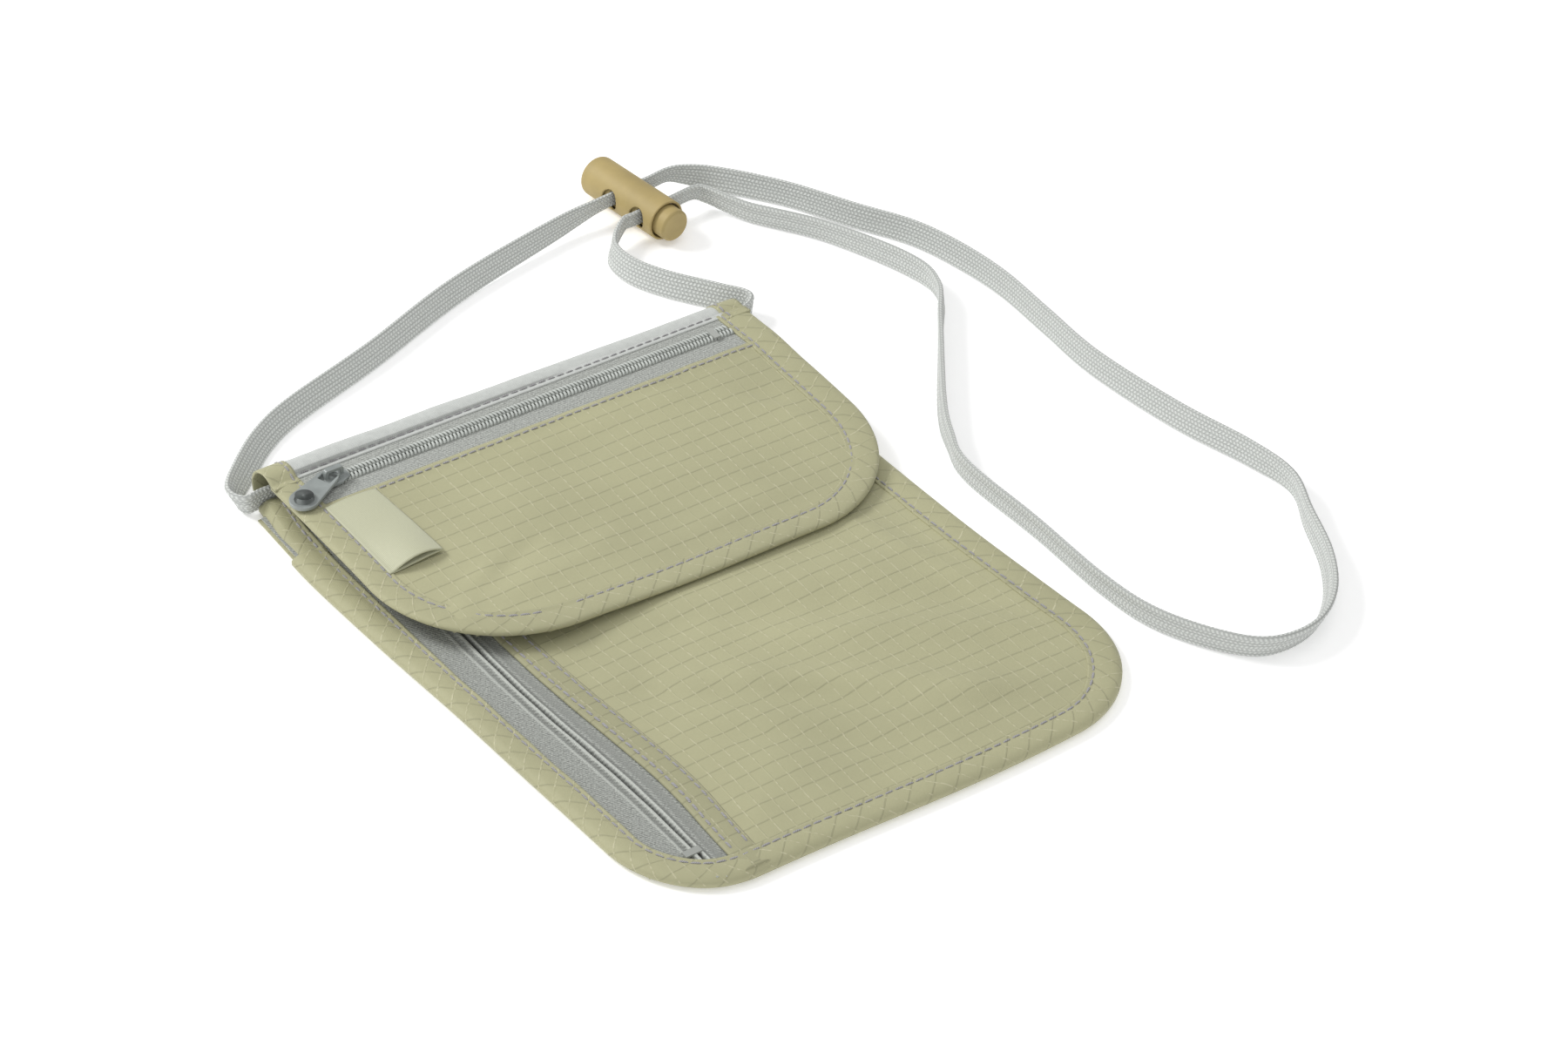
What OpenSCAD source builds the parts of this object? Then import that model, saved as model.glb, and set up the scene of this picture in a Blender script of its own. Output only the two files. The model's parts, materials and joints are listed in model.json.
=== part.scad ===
// Neck pouch wallet: a flat zipped pouch with a zipped flap, worn on a flat braided neck cord.
// It lies on its back: +X is the pouch's right, +Y runs to the fold and +Z comes out of its front.
// The origin is the middle of the pouch, on the surface that it lies on.

/* [Pouch body] */
// Width over the side bindings
body_w = 156; // [150:1:165]
// Height from the bottom edge to the outside of the fold
body_h = 188; // [184:1:200]
// Thickness of the empty body at its binding
body_t = 3.4; // [3.4:0.1:3.6]
// Radius of the bottom left corner
corner_left = 26; // [20:1:30]
// Radius of the bottom right corner
corner_right = 34; // [26:1:40]
// Width of the folded binding on each face
binding_w = 7.5; // [6:0.5:8]

/* [Flap] */
// Width of the flap
flap_w = 150; // [144:1:150]
// Radius of the flap's two free corners
flap_corner = 38; // [30:1:42]
// Height of the flap's free edge above the middle of the pouch
flap_edge_y = 0; // [-2:1:10]
// Height of the flap's underside above the surface
flap_z = 8.3; // [8.3:0.1:8.8]
// Thickness of the flap at its binding
flap_t = 2.7; // [2.7:0.1:3]

/* [Fold tunnel] */
// Outer radius of the soft tunnel along the fold
tunnel_r = 4; // [4:0.1:4]
// Thickness of the folded strip
strip_t = 0.5; // [0.5:0.1:0.6]

/* [Zips] */
// Distance of the flap zip's middle below the outside of the fold
flap_zip_drop = 15; // [13:0.5:16]
// Distance of the side zip's middle from the body's left edge
side_zip_in = 17.5; // [17:0.5:19]
// Width of one row of coil
coil_w = 1.8; // [1.6:0.1:1.8]
// Height of a row of coil
coil_t = 1.1; // [1:0.1:1.2]
// Length of a zip slider
slider_l = 8; // [7:0.5:9]
// Width of a zip slider
slider_w = 6.4; // [6.4:0.1:7]
// Length of a zip pull from its bar to its tip
pull_l = 16.5; // [15:0.5:20]

/* [Label] */
// Width of the folded ribbon along the flap's edge
label_w = 30; // [24:1:32]
// How far the folded ribbon stands out of the seam
label_out = 15; // [12:1:18]

/* [Neck cord] */
// Thickness of the flat braid
cord_t = 1.5; // [1.2:0.1:1.6]

/* [Cord lock] */
// Outer diameter of the barrel
barrel_d = 12; // [12:0.5:12]
// Length of the barrel
barrel_l = 31.5; // [31:0.5:32]
// Diameter of the blind bore
barrel_bore = 10.6; // [10.5:0.1:10.6]
// Diameter of the cross holes in the barrel
cross_d = 6; // [5.8:0.1:6.2]
// Travel of the push button
button_travel = 3; // [2.5:0.5:3]

/* [Hidden] */
$fn = 64;

khaki = "#b9b68c";
zip_grey = "#a3abab";
strip_grey = "#bcc1bf";
thread_grey = "#8f939b";
cord_grey = "#c9cdcb";
tan_plastic = "#bfa871";

// body levels
lip_t = 0.5;
back_t = 0.4;
front_t = 0.7;
front_top = body_t - lip_t;
half_w = body_w / 2;
bottom_y = -body_h / 2;
body_top_y = body_h / 2 - 8;

// fold and flap levels
hinge_y = body_h / 2 - tunnel_r;
hinge_z = tunnel_r;
flap_lip = 0.4;
flap_top = flap_z + flap_t;
flap_end_y = hinge_y - 0.1;
panel_top = flap_top - flap_lip;
panel_t = 0.6;
lining_t = 0.25;

// zip levels and places
side_zip_x = -half_w + side_zip_in;
side_zip_z = 2.45;
flap_zip_y = body_h / 2 - flap_zip_drop;
flap_zip_z = 10.5;
coil_gap = 0.9;
tape_t = 0.3;
tape_low = 0.2;
facing_x = side_zip_x + 5;
facing_w = 7.5;
flap_seam_y = flap_zip_y - 8;
strip_edge_y = flap_zip_y + 5.7;
stitch_t = 0.2;
stitch_w = 0.5;
stitch_in = 6.2;
side_slider_y = 70;
side_coil_top = 84;
side_coil_low = -82.5;
flap_slider_x = -60.25;
flap_coil_half = 66;
stop_w = 4.6;
stop_h = 0.5;
flap_pull_yaw = 24;
pull_tilt = 3;

// the bar of a pull above the middle of its slider's chain
bar_z = 2.25;
bar_d = 1;

// the cord lock's place: the closed end of the barrel, on its axis
lock_pos = [80.3, 169, 6];
lock_turn = 6;
hole_s = [13.4, 25.2];
bore_end = 1.5;
button_out = 4;
plunger_clear = 0.1;
plunger_hole_d = 6.8;
plunger_inner = 8.5;
spring_wire = 0.5;
spring_d = 7.8;
spring_turns = 4;

// the neck cord's route: place and width of the braid, which stands on its edge
cord_route = [
  [-60, 90, 4, 6], [-75, 90, 4, 6], [-80.7, 89.7, 4, 6.6], [-81.8, 95, 4, 7.2],
  [-71.5, 104.5, 3.9, 7.5], [-61, 113, 3.9, 7.5], [-48, 119.5, 3.9, 7.5],
  [-18, 129.5, 3.9, 7.5], [18, 143.5, 3.9, 7.5], [56, 152.8, 4.5, 6.6],
  [72.8, 154.7, 6, 4.6], [90, 156.5, 6, 4.6], [97.5, 157.3, 6, 4.8], [103, 156, 4.9, 6.2], [110, 150.5, 3.9, 7.5],
  [122, 134, 3.9, 7.5], [132, 114, 3.9, 7.5], [140.5, 98, 3.9, 7.5], [144.5, 82, 3.9, 7.5],
  [146, 64, 3.9, 7.5], [144.5, 43, 3.9, 7.5], [143, 20, 3.9, 7.5], [146, -10, 3.9, 7.5],
  [151, -34, 3.9, 7.5], [152, -50, 3.9, 7.5], [145, -64, 3.9, 7.5], [137, -80, 3.9, 7.5],
  [127, -92, 3.9, 7.5], [115, -98.5, 3.9, 7.5], [102, -98, 3.9, 7.5], [93, -90, 3.9, 7.5],
  [85, -74, 3.9, 7.5], [82.7, -56, 3.9, 7.5], [83.5, -28, 3.9, 7.5], [83.5, 0, 3.9, 7.5],
  [88, 13, 3.9, 7.5], [96, 27, 3.9, 7.5], [118, 56, 3.9, 7.5], [129, 71, 3.9, 7.5],
  [129.5, 86, 3.9, 7.5], [120, 112, 3.9, 7.5], [108, 131, 3.9, 7.5], [102, 143.5, 5, 6.2], [98.3, 145.6, 6, 4.8],
  [89, 144.6, 6, 4.6], [76.5, 143.3, 6, 4.6], [72, 142.6, 5.8, 4.8], [64, 135.5, 3.9, 7.2],
  [63, 126, 3.9, 7.5], [67.5, 115, 3.9, 7.5], [76, 102, 3.9, 7.5], [81, 94.2, 4, 6.8],
  [75, 90, 4, 6], [60, 90, 4, 6]];
rings_per_span = 2;

// ---- curves and sweeps ----

function unit(v) = v / norm(v);
function xyz(p) = [p[0], p[1], p[2]];

// a smooth curve through four neighbouring points, from b at u = 0 to c at u = 1
function curve(a, b, c, d, u) = 0.5 * (2 * b + (c - a) * u
  + (2 * a - 5 * b + 4 * c - d) * u * u + (3 * b - 3 * c + d - a) * u * u * u);

function smooth_route(p, n) = concat(
  [for (i = [0 : len(p) - 2]) for (k = [0 : n - 1])
    curve(p[max(i - 1, 0)], p[i], p[i + 1], p[min(i + 2, len(p) - 1)], k / n)],
  [p[len(p) - 1]]);

// direction of travel at ring i
function heading(p, i) = unit(xyz(p[min(i + 1, len(p) - 1)]) - xyz(p[max(i - 1, 0)]));
function across(t) = unit(cross([0, 0, 1], t));

// one ring of a braid that stands on edge: eight points round a flat section with blunt ends
function braid_ring(c, t, w, h) = let (n = across(t), k = unit(cross(t, n)))
  [for (q = [[-0.5, -0.36], [-0.3, -0.5], [0.3, -0.5], [0.5, -0.36],
             [0.5, 0.36], [0.3, 0.5], [-0.3, 0.5], [-0.5, 0.36]])
    c + n * q[0] * h + k * q[1] * w];

// a round ring of m points
function round_ring(c, t, r, m) = let (n = across(t), k = unit(cross(t, n)))
  [for (j = [0 : m - 1]) c + r * (n * cos(360 * j / m) + k * sin(360 * j / m))];

module skin(rings) {
  m = len(rings[0]);
  last = len(rings) - 1;
  points = [for (r = rings) each r];
  sides = [for (i = [0 : last - 1]) for (j = [0 : m - 1]) let (q = (j + 1) % m)
    each [[i * m + j, (i + 1) * m + j, (i + 1) * m + q], [i * m + j, (i + 1) * m + q, i * m + q]]];
  ends = [[for (j = [0 : m - 1]) j], [for (j = [m - 1 : -1 : 0]) last * m + j]];
  polyhedron(points, concat(sides, ends));
}

// ---- outlines ----

// the body's outline, drawn in from its edge by inset; its top edge stays open
module body_outline(inset, extra = 0) {
  left = -half_w + inset;
  right = half_w - inset;
  low = bottom_y + inset;
  r1 = corner_left - inset;
  r2 = corner_right - inset;
  top = body_top_y + extra;
  translate([left + r1, low + r1]) circle(r1);
  translate([right - r2, low + r2]) circle(r2);
  translate([left + r1, low]) square([right - left - r1 - r2, top - low]);
  translate([left, low + r1]) square([r1 + 1, top - low - r1]);
  translate([right - r2 - 1, low + r2]) square([r2 + 1, top - low - r2]);
}

// the flap's outline, drawn in from its three free edges
module flap_outline(inset, extra = 0) {
  side = flap_w / 2 - inset;
  low = flap_edge_y + inset;
  r = flap_corner - inset;
  top = flap_end_y + extra;
  for (s = [-1, 1]) translate([s * (side - r), low + r]) circle(r);
  translate([-side + r, low]) square([2 * (side - r), top - low]);
  translate([-side, low + r]) square([2 * side, top - low - r]);
}

module slab(z, t) {
  translate([0, 0, z]) linear_extrude(t) children();
}

// a box from its low corner to its high corner
module block(a, b) {
  translate(a) cube(b - a);
}

// a folded tape round an edge: two lips and the fold between them
module channel(z, t, lip, wall) {
  difference() {
    slab(z, t) children(0);
    slab(z - 1, t + 2) children(1);
    slab(z + lip, t - 2 * lip) children(2);
  }
}

// ---- zip pieces ----

// one row of coil along +X, beside the chain's middle line
module coil_row(from, to, side) {
  y = side * (coil_gap / 2 + coil_w / 2);
  r = coil_t / 2;
  translate([from, y, 0]) rotate([90, 0, 90]) linear_extrude(to - from) {
    for (s = [-1, 1]) translate([s * (coil_w / 2 - r), 0]) circle(r);
    square([coil_w - coil_t, coil_t], center = true);
  }
}

// a crimped stop on each row where the zip closes, and one across both rows where it opens
module chain_stops(closed, open) {
  low = coil_t / 2;
  block([open, -stop_w / 2, low], [open + 2, stop_w / 2, low + stop_h]);
  for (y = [-stop_w / 2, coil_gap / 2]) block([closed, y, low], [closed + 1.5, y + coil_w, low + stop_h]);
}

// a slider on the chain, which closes towards -X
module zip_slider() {
  plate_low = 0.75;
  plate_t = 0.6;
  flange_in = 2.6;
  flange_low = [-0.45, 0.35];
  half = slider_w / 2;
  end = slider_l / 2;
  nose = half - 0.9;
  outline = [[-end, -nose], [-end + 1, -half], [1, -half], [end, -nose + 0.4],
             [end, nose - 0.4], [1, half], [-end + 1, half], [-end, nose]];
  slab(plate_low, plate_t) polygon(outline);
  slab(-plate_low - 0.5, 0.5) polygon(outline);
  for (s = [-1, 1]) {
    y = s > 0 ? flange_in : -half;
    block([-end + 1.2, y, flange_low[1]], [1.2, y + half - flange_in, plate_low + 0.1]);
    block([-end + 1.2, y, -plate_low - 0.1], [1.2, y + half - flange_in, flange_low[0]]);
  }
  block([-end + 0.6, -0.2, -plate_low - 0.1], [-end + 1.9, 0.2, plate_low + 0.1]);
  slider_bridge(plate_low + plate_t);
}

// the arch that the pull hangs on
module slider_bridge(z) {
  translate([0, 0.8, z]) rotate([90, 0, 0]) linear_extrude(1.6) difference() {
    union() {
      translate([-2.7, -0.1]) square([5.4, 1.95]);
      for (s = [-1, 1]) translate([s * 1.9, 1.85]) circle(0.8);
      translate([-1.9, 1.65]) square([3.8, 1]);
    }
    translate([-1.75, -1]) square([3.5, 2.8]);
  }
}

// a pull that points along +X from its bar, which lies along Y through the origin
module zip_pull() {
  head_r = 2.7;
  tip_r = 3.9;
  tip_x = pull_l - tip_r;
  head_x = head_r - bar_d / 2;
  lean = acos((head_r - tip_r) / (tip_x - head_x));
  rotate([0, pull_tilt, 0]) {
    difference() {
      slab(-bar_d / 2, bar_d) {
        translate([head_x, 0]) circle(head_r);
        translate([tip_x, 0]) circle(tip_r);
        polygon([for (q = [[head_x, head_r, 1], [tip_x, tip_r, 1], [tip_x, tip_r, -1],
          [head_x, head_r, -1]]) [q[0] + q[1] * cos(lean), q[2] * q[1] * sin(lean)]]);
      }
      translate([bar_d / 2, -1.9, -1]) cube([3.7, 3.8, 2]);
      translate([-5, -5, -1]) cube([5, 10, 2]);
      translate([tip_x, 0, bar_d / 2 - 0.6]) cylinder(h = 1, r = 2.5);
    }
    rotate([90, 0, 0]) cylinder(h = 4, d = bar_d, center = true);
  }
}

// ---- pouch body ----

module back_panel() {
  color(khaki) {
    slab(lip_t, back_t) body_outline(1.2);
    block([-flap_w / 2 + 1, body_top_y - 1, lip_t], [flap_w / 2 - 1, hinge_y, lip_t + back_t]);
  }
}

module front_panel() {
  color(khaki) slab(front_top - front_t, front_t) intersection() {
    body_outline(1.2);
    translate([facing_x + facing_w, bottom_y]) square([body_w, body_h]);
  }
}

module side_facing() {
  color(khaki) slab(front_top - front_t, front_t) intersection() {
    body_outline(1.2);
    translate([facing_x, bottom_y]) square([facing_w, body_h]);
  }
}

module side_facing_stitches() {
  color(thread_grey) slab(front_top, stitch_t) intersection() {
    body_outline(binding_w + 0.3);
    for (x = [facing_x + 1.3, facing_x + 5.7])
      translate([x, bottom_y]) square([stitch_w, body_h]);
  }
}

module side_zip_tape(x1, x2) {
  color(zip_grey) slab(side_zip_z - tape_low, tape_t) intersection() {
    body_outline(1.2);
    translate([x1, bottom_y]) square([x2 - x1, body_h]);
  }
}

module side_zip_tape_outer() {
  side_zip_tape(-half_w, side_zip_x - coil_gap / 2 - coil_w);
}

module side_zip_tape_inner() {
  side_zip_tape(side_zip_x + coil_gap / 2 + coil_w, facing_x);
}

// the side chain's +X is the pouch's -Y, so it closes towards the fold
module on_side_chain(y) {
  translate([side_zip_x, y, side_zip_z]) rotate([0, 0, -90]) children();
}

module side_zip_coil_outer() {
  color(zip_grey) on_side_chain(0) coil_row(-side_coil_top, -side_coil_low, -1);
}

module side_zip_coil_inner() {
  color(zip_grey) on_side_chain(0) coil_row(-side_coil_top, -side_coil_low, 1);
}

module side_zip_stops() {
  color(zip_grey) on_side_chain(0) chain_stops(-80, 79.5);
}

module side_zip_slider() {
  color(zip_grey) on_side_chain(side_slider_y) zip_slider();
}

module side_zip_pull() {
  color(zip_grey) on_side_chain(side_slider_y) translate([0, 0, bar_z]) rotate([0, -pull_tilt, 0])
    zip_pull();
}

module body_binding() {
  color(khaki) channel(0, body_t, lip_t, 1) {
    body_outline(0);
    body_outline(binding_w, 1);
    body_outline(1, 1);
  }
}

module body_binding_stitches() {
  color(thread_grey) slab(body_t, stitch_t) difference() {
    body_outline(stitch_in);
    body_outline(stitch_in + stitch_w, 1);
  }
}

// the soft strip round the back of the fold, with the leaf that is sewn under the back panel
module fold_tunnel() {
  leaf_y = body_top_y + 0.2;
  half = flap_w / 2;
  color(strip_grey) {
    intersection() {
      translate([-half, hinge_y, hinge_z]) rotate([0, 90, 0]) difference() {
        cylinder(h = flap_w, r = tunnel_r);
        translate([0, 0, -1]) cylinder(h = flap_w + 2, r = tunnel_r - strip_t);
      }
      block([-half, hinge_y, -1], [half, hinge_y + tunnel_r + 1, 2 * tunnel_r + 1]);
    }
    block([-half, leaf_y, 0], [half, hinge_y + 0.01, strip_t]);
  }
}

// ---- flap ----

module flap_band(y1, y2, z, t) {
  slab(z, t) intersection() {
    flap_outline(1.2);
    translate([-flap_w / 2, y1]) square([flap_w, y2 - y1]);
  }
}

module flap_fold_strip() {
  color(strip_grey) flap_band(strip_edge_y, flap_end_y, panel_top - panel_t, panel_t);
}

module flap_panel() {
  color(khaki) flap_band(flap_edge_y, flap_seam_y, panel_top - panel_t, panel_t);
}

module flap_lining() {
  color(khaki) flap_band(flap_edge_y, flap_end_y, flap_z + flap_lip, lining_t);
}

module flap_binding() {
  color(khaki) channel(flap_z, flap_t, flap_lip, 1) {
    flap_outline(0);
    flap_outline(binding_w, 1);
    flap_outline(1, 1);
  }
}

module flap_binding_stitches() {
  color(thread_grey) slab(flap_top, stitch_t) difference() {
    flap_outline(stitch_in);
    flap_outline(stitch_in + stitch_w, 1);
  }
}

module flap_zip_tape_upper() {
  color(zip_grey) flap_band(flap_zip_y + coil_gap / 2 + coil_w, strip_edge_y,
    flap_zip_z - tape_low, tape_t);
}

module flap_zip_tape_lower() {
  color(zip_grey) flap_band(flap_seam_y, flap_zip_y - coil_gap / 2 - coil_w,
    flap_zip_z - tape_low, tape_t);
}

module on_flap_chain(x) {
  translate([x, flap_zip_y, flap_zip_z]) children();
}

module flap_zip_coil_upper() {
  color(zip_grey) on_flap_chain(0) coil_row(-flap_coil_half, flap_coil_half, 1);
}

module flap_zip_coil_lower() {
  color(zip_grey) on_flap_chain(0) coil_row(-flap_coil_half, flap_coil_half, -1);
}

module flap_zip_stops() {
  color(zip_grey) on_flap_chain(0) chain_stops(-66, 57);
}

module flap_zip_stitches() {
  long = flap_w - 2 * binding_w - 0.6;
  color(thread_grey) for (y = [strip_edge_y + 0.8, flap_seam_y - 1.6])
    block([-long / 2, y, panel_top], [long / 2, y + stitch_w, panel_top + stitch_t]);
}

module flap_zip_slider() {
  color(zip_grey) on_flap_chain(flap_slider_x) zip_slider();
}

module flap_zip_pull() {
  color(zip_grey) on_flap_chain(flap_slider_x) translate([0, 0, bar_z])
    rotate([0, 0, 180 + flap_pull_yaw]) zip_pull();
}

// a ribbon folded in half and sewn into the seam, with a soft hollow between its two leaves
module label_tab() {
  skin_t = 0.35;
  steps = 12;
  rise = 2.4;
  x0 = -flap_w / 2 + binding_w;
  upper = [for (i = [0 : steps]) [label_out * i / steps, skin_t + rise * sin(180 * i / steps)]];
  inner = [for (i = [1 : steps - 1])
    [label_out * i / steps, skin_t + (rise - skin_t) * sin(180 * i / steps)]];
  color("#d7d9af") translate([x0, 39 + label_w, panel_top]) rotate([90, 0, 0])
    linear_extrude(label_w) difference() {
      polygon(concat([[0, 0]], upper, [[label_out, 0]]));
      polygon(inner);
    }
}

// ---- neck cord ----

module neck_cord() {
  p = smooth_route(cord_route, rings_per_span);
  color(cord_grey) skin([for (i = [0 : len(p) - 1]) braid_ring(xyz(p[i]), heading(p, i), p[i][3],
    min(cord_t, cord_t * p[i][3] / 5.4))]);
}

module cord_bar_tacks() {
  color(cord_grey) for (s = [-1, 1]) {
    x = s > 0 ? 57 : -60;
    block([x, hinge_y - 1, hinge_z - 0.8], [x + 3, hinge_y + 3.4, hinge_z + 0.8]);
  }
}

// ---- cord lock ----

// the lock's own axis is +Z here, from the barrel's closed end to its mouth; the cords run along X
module on_lock() {
  translate(lock_pos) rotate([90, 0, lock_turn]) children();
}

module cross_holes(at, d) {
  for (s = at) translate([0, 0, s]) rotate([0, 90, 0]) cylinder(h = 20, d = d, center = true);
}

module lock_barrel() {
  r = barrel_d / 2;
  round_r = 2;
  color(tan_plastic) on_lock() difference() {
    rotate_extrude() {
      translate([0, round_r]) square([r, barrel_l - round_r]);
      square([r - round_r, barrel_l]);
      translate([r - round_r, round_r]) circle(round_r);
    }
    translate([0, 0, bore_end]) cylinder(h = barrel_l, d = barrel_bore);
    cross_holes(hole_s, cross_d);
  }
}

module lock_button() {
  d = barrel_bore - 2 * plunger_clear;
  half_travel = button_travel / 2;
  edge = 0.6;
  top = barrel_l + button_out;
  color(tan_plastic) on_lock() difference() {
    union() {
      translate([0, 0, plunger_inner]) cylinder(h = top - edge - plunger_inner, d = d);
      translate([0, 0, top - edge]) cylinder(h = edge, d1 = d, d2 = d - 2 * edge);
    }
    cross_holes([for (s = hole_s) s + half_travel], plunger_hole_d);
  }
}

module lock_spring() {
  free = plunger_inner - bore_end - spring_wire;
  start = bore_end + spring_wire / 2;
  steps = 16 * spring_turns;
  p = [for (i = [0 : steps]) [spring_d / 2 * cos(22.5 * i), spring_d / 2 * sin(22.5 * i),
    start + free * i / steps]];
  color("silver") on_lock() skin([for (i = [0 : steps])
    round_ring(p[i], heading(p, i), spring_wire / 2 - 0.01, 8)]);
}

back_panel();
front_panel();
side_facing();
side_facing_stitches();
side_zip_tape_outer();
side_zip_tape_inner();
side_zip_coil_outer();
side_zip_coil_inner();
side_zip_stops();
side_zip_slider();
side_zip_pull();
body_binding();
body_binding_stitches();
fold_tunnel();
flap_fold_strip();
flap_panel();
flap_lining();
flap_binding();
flap_binding_stitches();
flap_zip_tape_upper();
flap_zip_tape_lower();
flap_zip_coil_upper();
flap_zip_coil_lower();
flap_zip_stops();
flap_zip_stitches();
flap_zip_slider();
flap_zip_pull();
label_tab();
neck_cord();
cord_bar_tacks();
lock_barrel();
lock_button();
lock_spring();
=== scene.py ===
"""Neck pouch wallet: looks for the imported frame. Lengths are in millimetres until a mesh is made."""
import json
import math

import bmesh
import bpy
import numpy as np
from mathutils import Matrix, Vector


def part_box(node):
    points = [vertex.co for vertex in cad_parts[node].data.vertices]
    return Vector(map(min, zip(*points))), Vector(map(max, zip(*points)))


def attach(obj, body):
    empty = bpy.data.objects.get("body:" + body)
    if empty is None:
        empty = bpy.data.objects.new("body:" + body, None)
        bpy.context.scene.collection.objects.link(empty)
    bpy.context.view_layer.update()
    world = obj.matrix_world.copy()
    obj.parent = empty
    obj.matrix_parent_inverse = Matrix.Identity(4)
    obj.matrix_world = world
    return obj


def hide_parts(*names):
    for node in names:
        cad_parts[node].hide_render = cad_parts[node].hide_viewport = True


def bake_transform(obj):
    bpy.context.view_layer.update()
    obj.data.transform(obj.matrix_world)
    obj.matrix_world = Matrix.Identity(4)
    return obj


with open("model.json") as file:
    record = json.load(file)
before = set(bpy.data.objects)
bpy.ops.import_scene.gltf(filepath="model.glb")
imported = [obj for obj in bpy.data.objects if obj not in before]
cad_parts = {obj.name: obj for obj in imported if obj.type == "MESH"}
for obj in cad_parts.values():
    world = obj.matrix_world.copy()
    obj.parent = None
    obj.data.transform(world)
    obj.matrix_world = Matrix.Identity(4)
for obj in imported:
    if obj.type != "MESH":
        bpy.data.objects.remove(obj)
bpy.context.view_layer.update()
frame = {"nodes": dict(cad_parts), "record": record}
MM = 0.001


def span(node):
    """Lowest and highest corner of a CAD node, in millimetres."""
    low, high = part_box(node)
    return np.array(low) / MM, np.array(high) / MM


def unit(vectors):
    """Each vector at length 1."""
    return vectors / np.linalg.norm(vectors, axis=-1, keepdims=True)


def smooth(x, a, b):
    """0 up to a, 1 from b on, and a soft step between."""
    t = np.clip((x - a) / (b - a), 0, 1)
    return t * t * (3 - 2 * t)


def new_object(name, data):
    made = bpy.data.objects.new(name, data)
    bpy.context.scene.collection.objects.link(made)
    return made


# ---- places taken from the frame

BODY_LOW, BODY_HIGH = span("body_binding")
FLAP_LOW, FLAP_HIGH = span("flap_binding")
TUNNEL_TOP_Y = span("fold_tunnel")[1][1]
TUNNEL_RADIUS = 4.0
FACING_LOW, FACING_HIGH = span("side_facing")
SIDE_COIL = (span("side_zip_coil_outer")[0] + span("side_zip_coil_inner")[1]) / 2
FLAP_COIL = (span("flap_zip_coil_lower")[0] + span("flap_zip_coil_upper")[1]) / 2
FLAP_COIL_LOW, FLAP_COIL_HIGH = span("flap_zip_coil_upper")
SIDE_COIL_LOW, SIDE_COIL_HIGH = span("side_zip_coil_outer")
SEAM_Y = span("flap_panel")[1][1]
STRIP_Y = span("flap_fold_strip")[0][1]
LABEL_LOW, LABEL_HIGH = span("label_tab")
HINGE_Y = TUNNEL_TOP_Y - TUNNEL_RADIUS
HINGE_Z = TUNNEL_RADIUS
BINDING = 7.5
# the stitches' inset from an edge, and how much a bulging right edge widens its binding and moves them in
STITCH_INSET = 6.2
RIGHT_LIP = 2.2
STITCH_SHARE = 0.85
BODY_CORNERS = (26.0, 34.0)
FLAP_CORNER = 38.0
STEP_Y = 65.0


# ---- how the soft pouch has settled

SETTLE_Y = (-94, -80, -60, -40, -20, 0, 30, 60, 90)
# sideways shifts in mm at four lines that run down the pouch: left edge, zip, facing, right edge
SETTLE = {-78.0: (2.5, 2.5, 1.8, 0.8, 0.2, -0.8, -2.6, -3.6, -2.2),
          -60.5: (1.0, 1.3, 1.5, 0.7, -0.7, -1.1, -0.5, 0.0, 0.0),
          -54.0: (1.4, 1.8, 4.0, 2.8, 1.0, 0.0, 0.0, 0.0, 0.0),
          78.0: (-1.6, -3.0, -4.8, -6.2, -7.2, -7.8, -7.8, -7.8, -7.4)}


def settle_body(points):
    """Moves points from the straight pattern to where the soft pouch lies."""
    x, y = points[:, 0].copy(), points[:, 1].copy()
    spread = (-9.0, -4.5, 0.0, 4.5, 9.0)
    lines = np.array([np.mean([np.interp(y + d, SETTLE_Y, shifts) for d in spread], axis=0)
                      for shifts in SETTLE.values()])
    at = list(SETTLE)
    shift = np.zeros_like(x)
    for k in range(len(at) - 1):
        part = np.clip((x - at[k]) / (at[k + 1] - at[k]), 0, 1)
        inside = (x >= at[k]) if k else np.ones(len(x), bool)
        shift = np.where(inside, lines[k] * (1 - part) + lines[k + 1] * part, shift)
    points[:, 0] = x + shift
    points[:, 1] = y - 2.2 * np.exp(-((x - 18) / 42) ** 2) * smooth(y, -55, -92)
    return points


def settle_flap(points):
    """The flap's right side hangs a little further in."""
    x, y = points[:, 0], points[:, 1]
    points[:, 0] = x - 1.3 * smooth(x, 10, 75) - 0.5 * smooth(y, 60, 90) * smooth(x, 10, 75)
    return points


# ---- camera

def make_camera():
    """The photograph's angle: from the left and below the pouch, well above it, with a long lens."""
    azimuth, elevation, distance, roll = math.radians(-127.7), math.radians(37.3), 1.0512, math.radians(2.7)
    target = Vector((0.0337, 0.0126, 0.0))
    back = Vector((math.cos(elevation) * math.cos(azimuth), math.cos(elevation) * math.sin(azimuth),
                   math.sin(elevation)))
    data = bpy.data.cameras.new("camera")
    data.lens = 94.0
    data.sensor_width = 36.0
    data.clip_start = 0.05
    camera = new_object("camera", data)
    turn = (-back).to_track_quat("-Z", "Y").to_matrix().to_4x4() @ Matrix.Rotation(roll, 4, "Z")
    camera.matrix_world = Matrix.Translation(target + back * distance) @ turn
    bpy.context.scene.camera = camera


# ---- materials

def linear(colour):
    """A colour written as 0 to 255 screen values, as the shader's linear values."""
    c = np.array(colour, float) / 255
    return (*np.where(c <= 0.04045, c / 12.92, ((c + 0.055) / 1.055) ** 2.4), 1.0)


def shade(colour, share):
    """The same colour lighter or darker."""
    return linear(np.clip(np.array(colour, float) * share, 0, 255))


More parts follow.
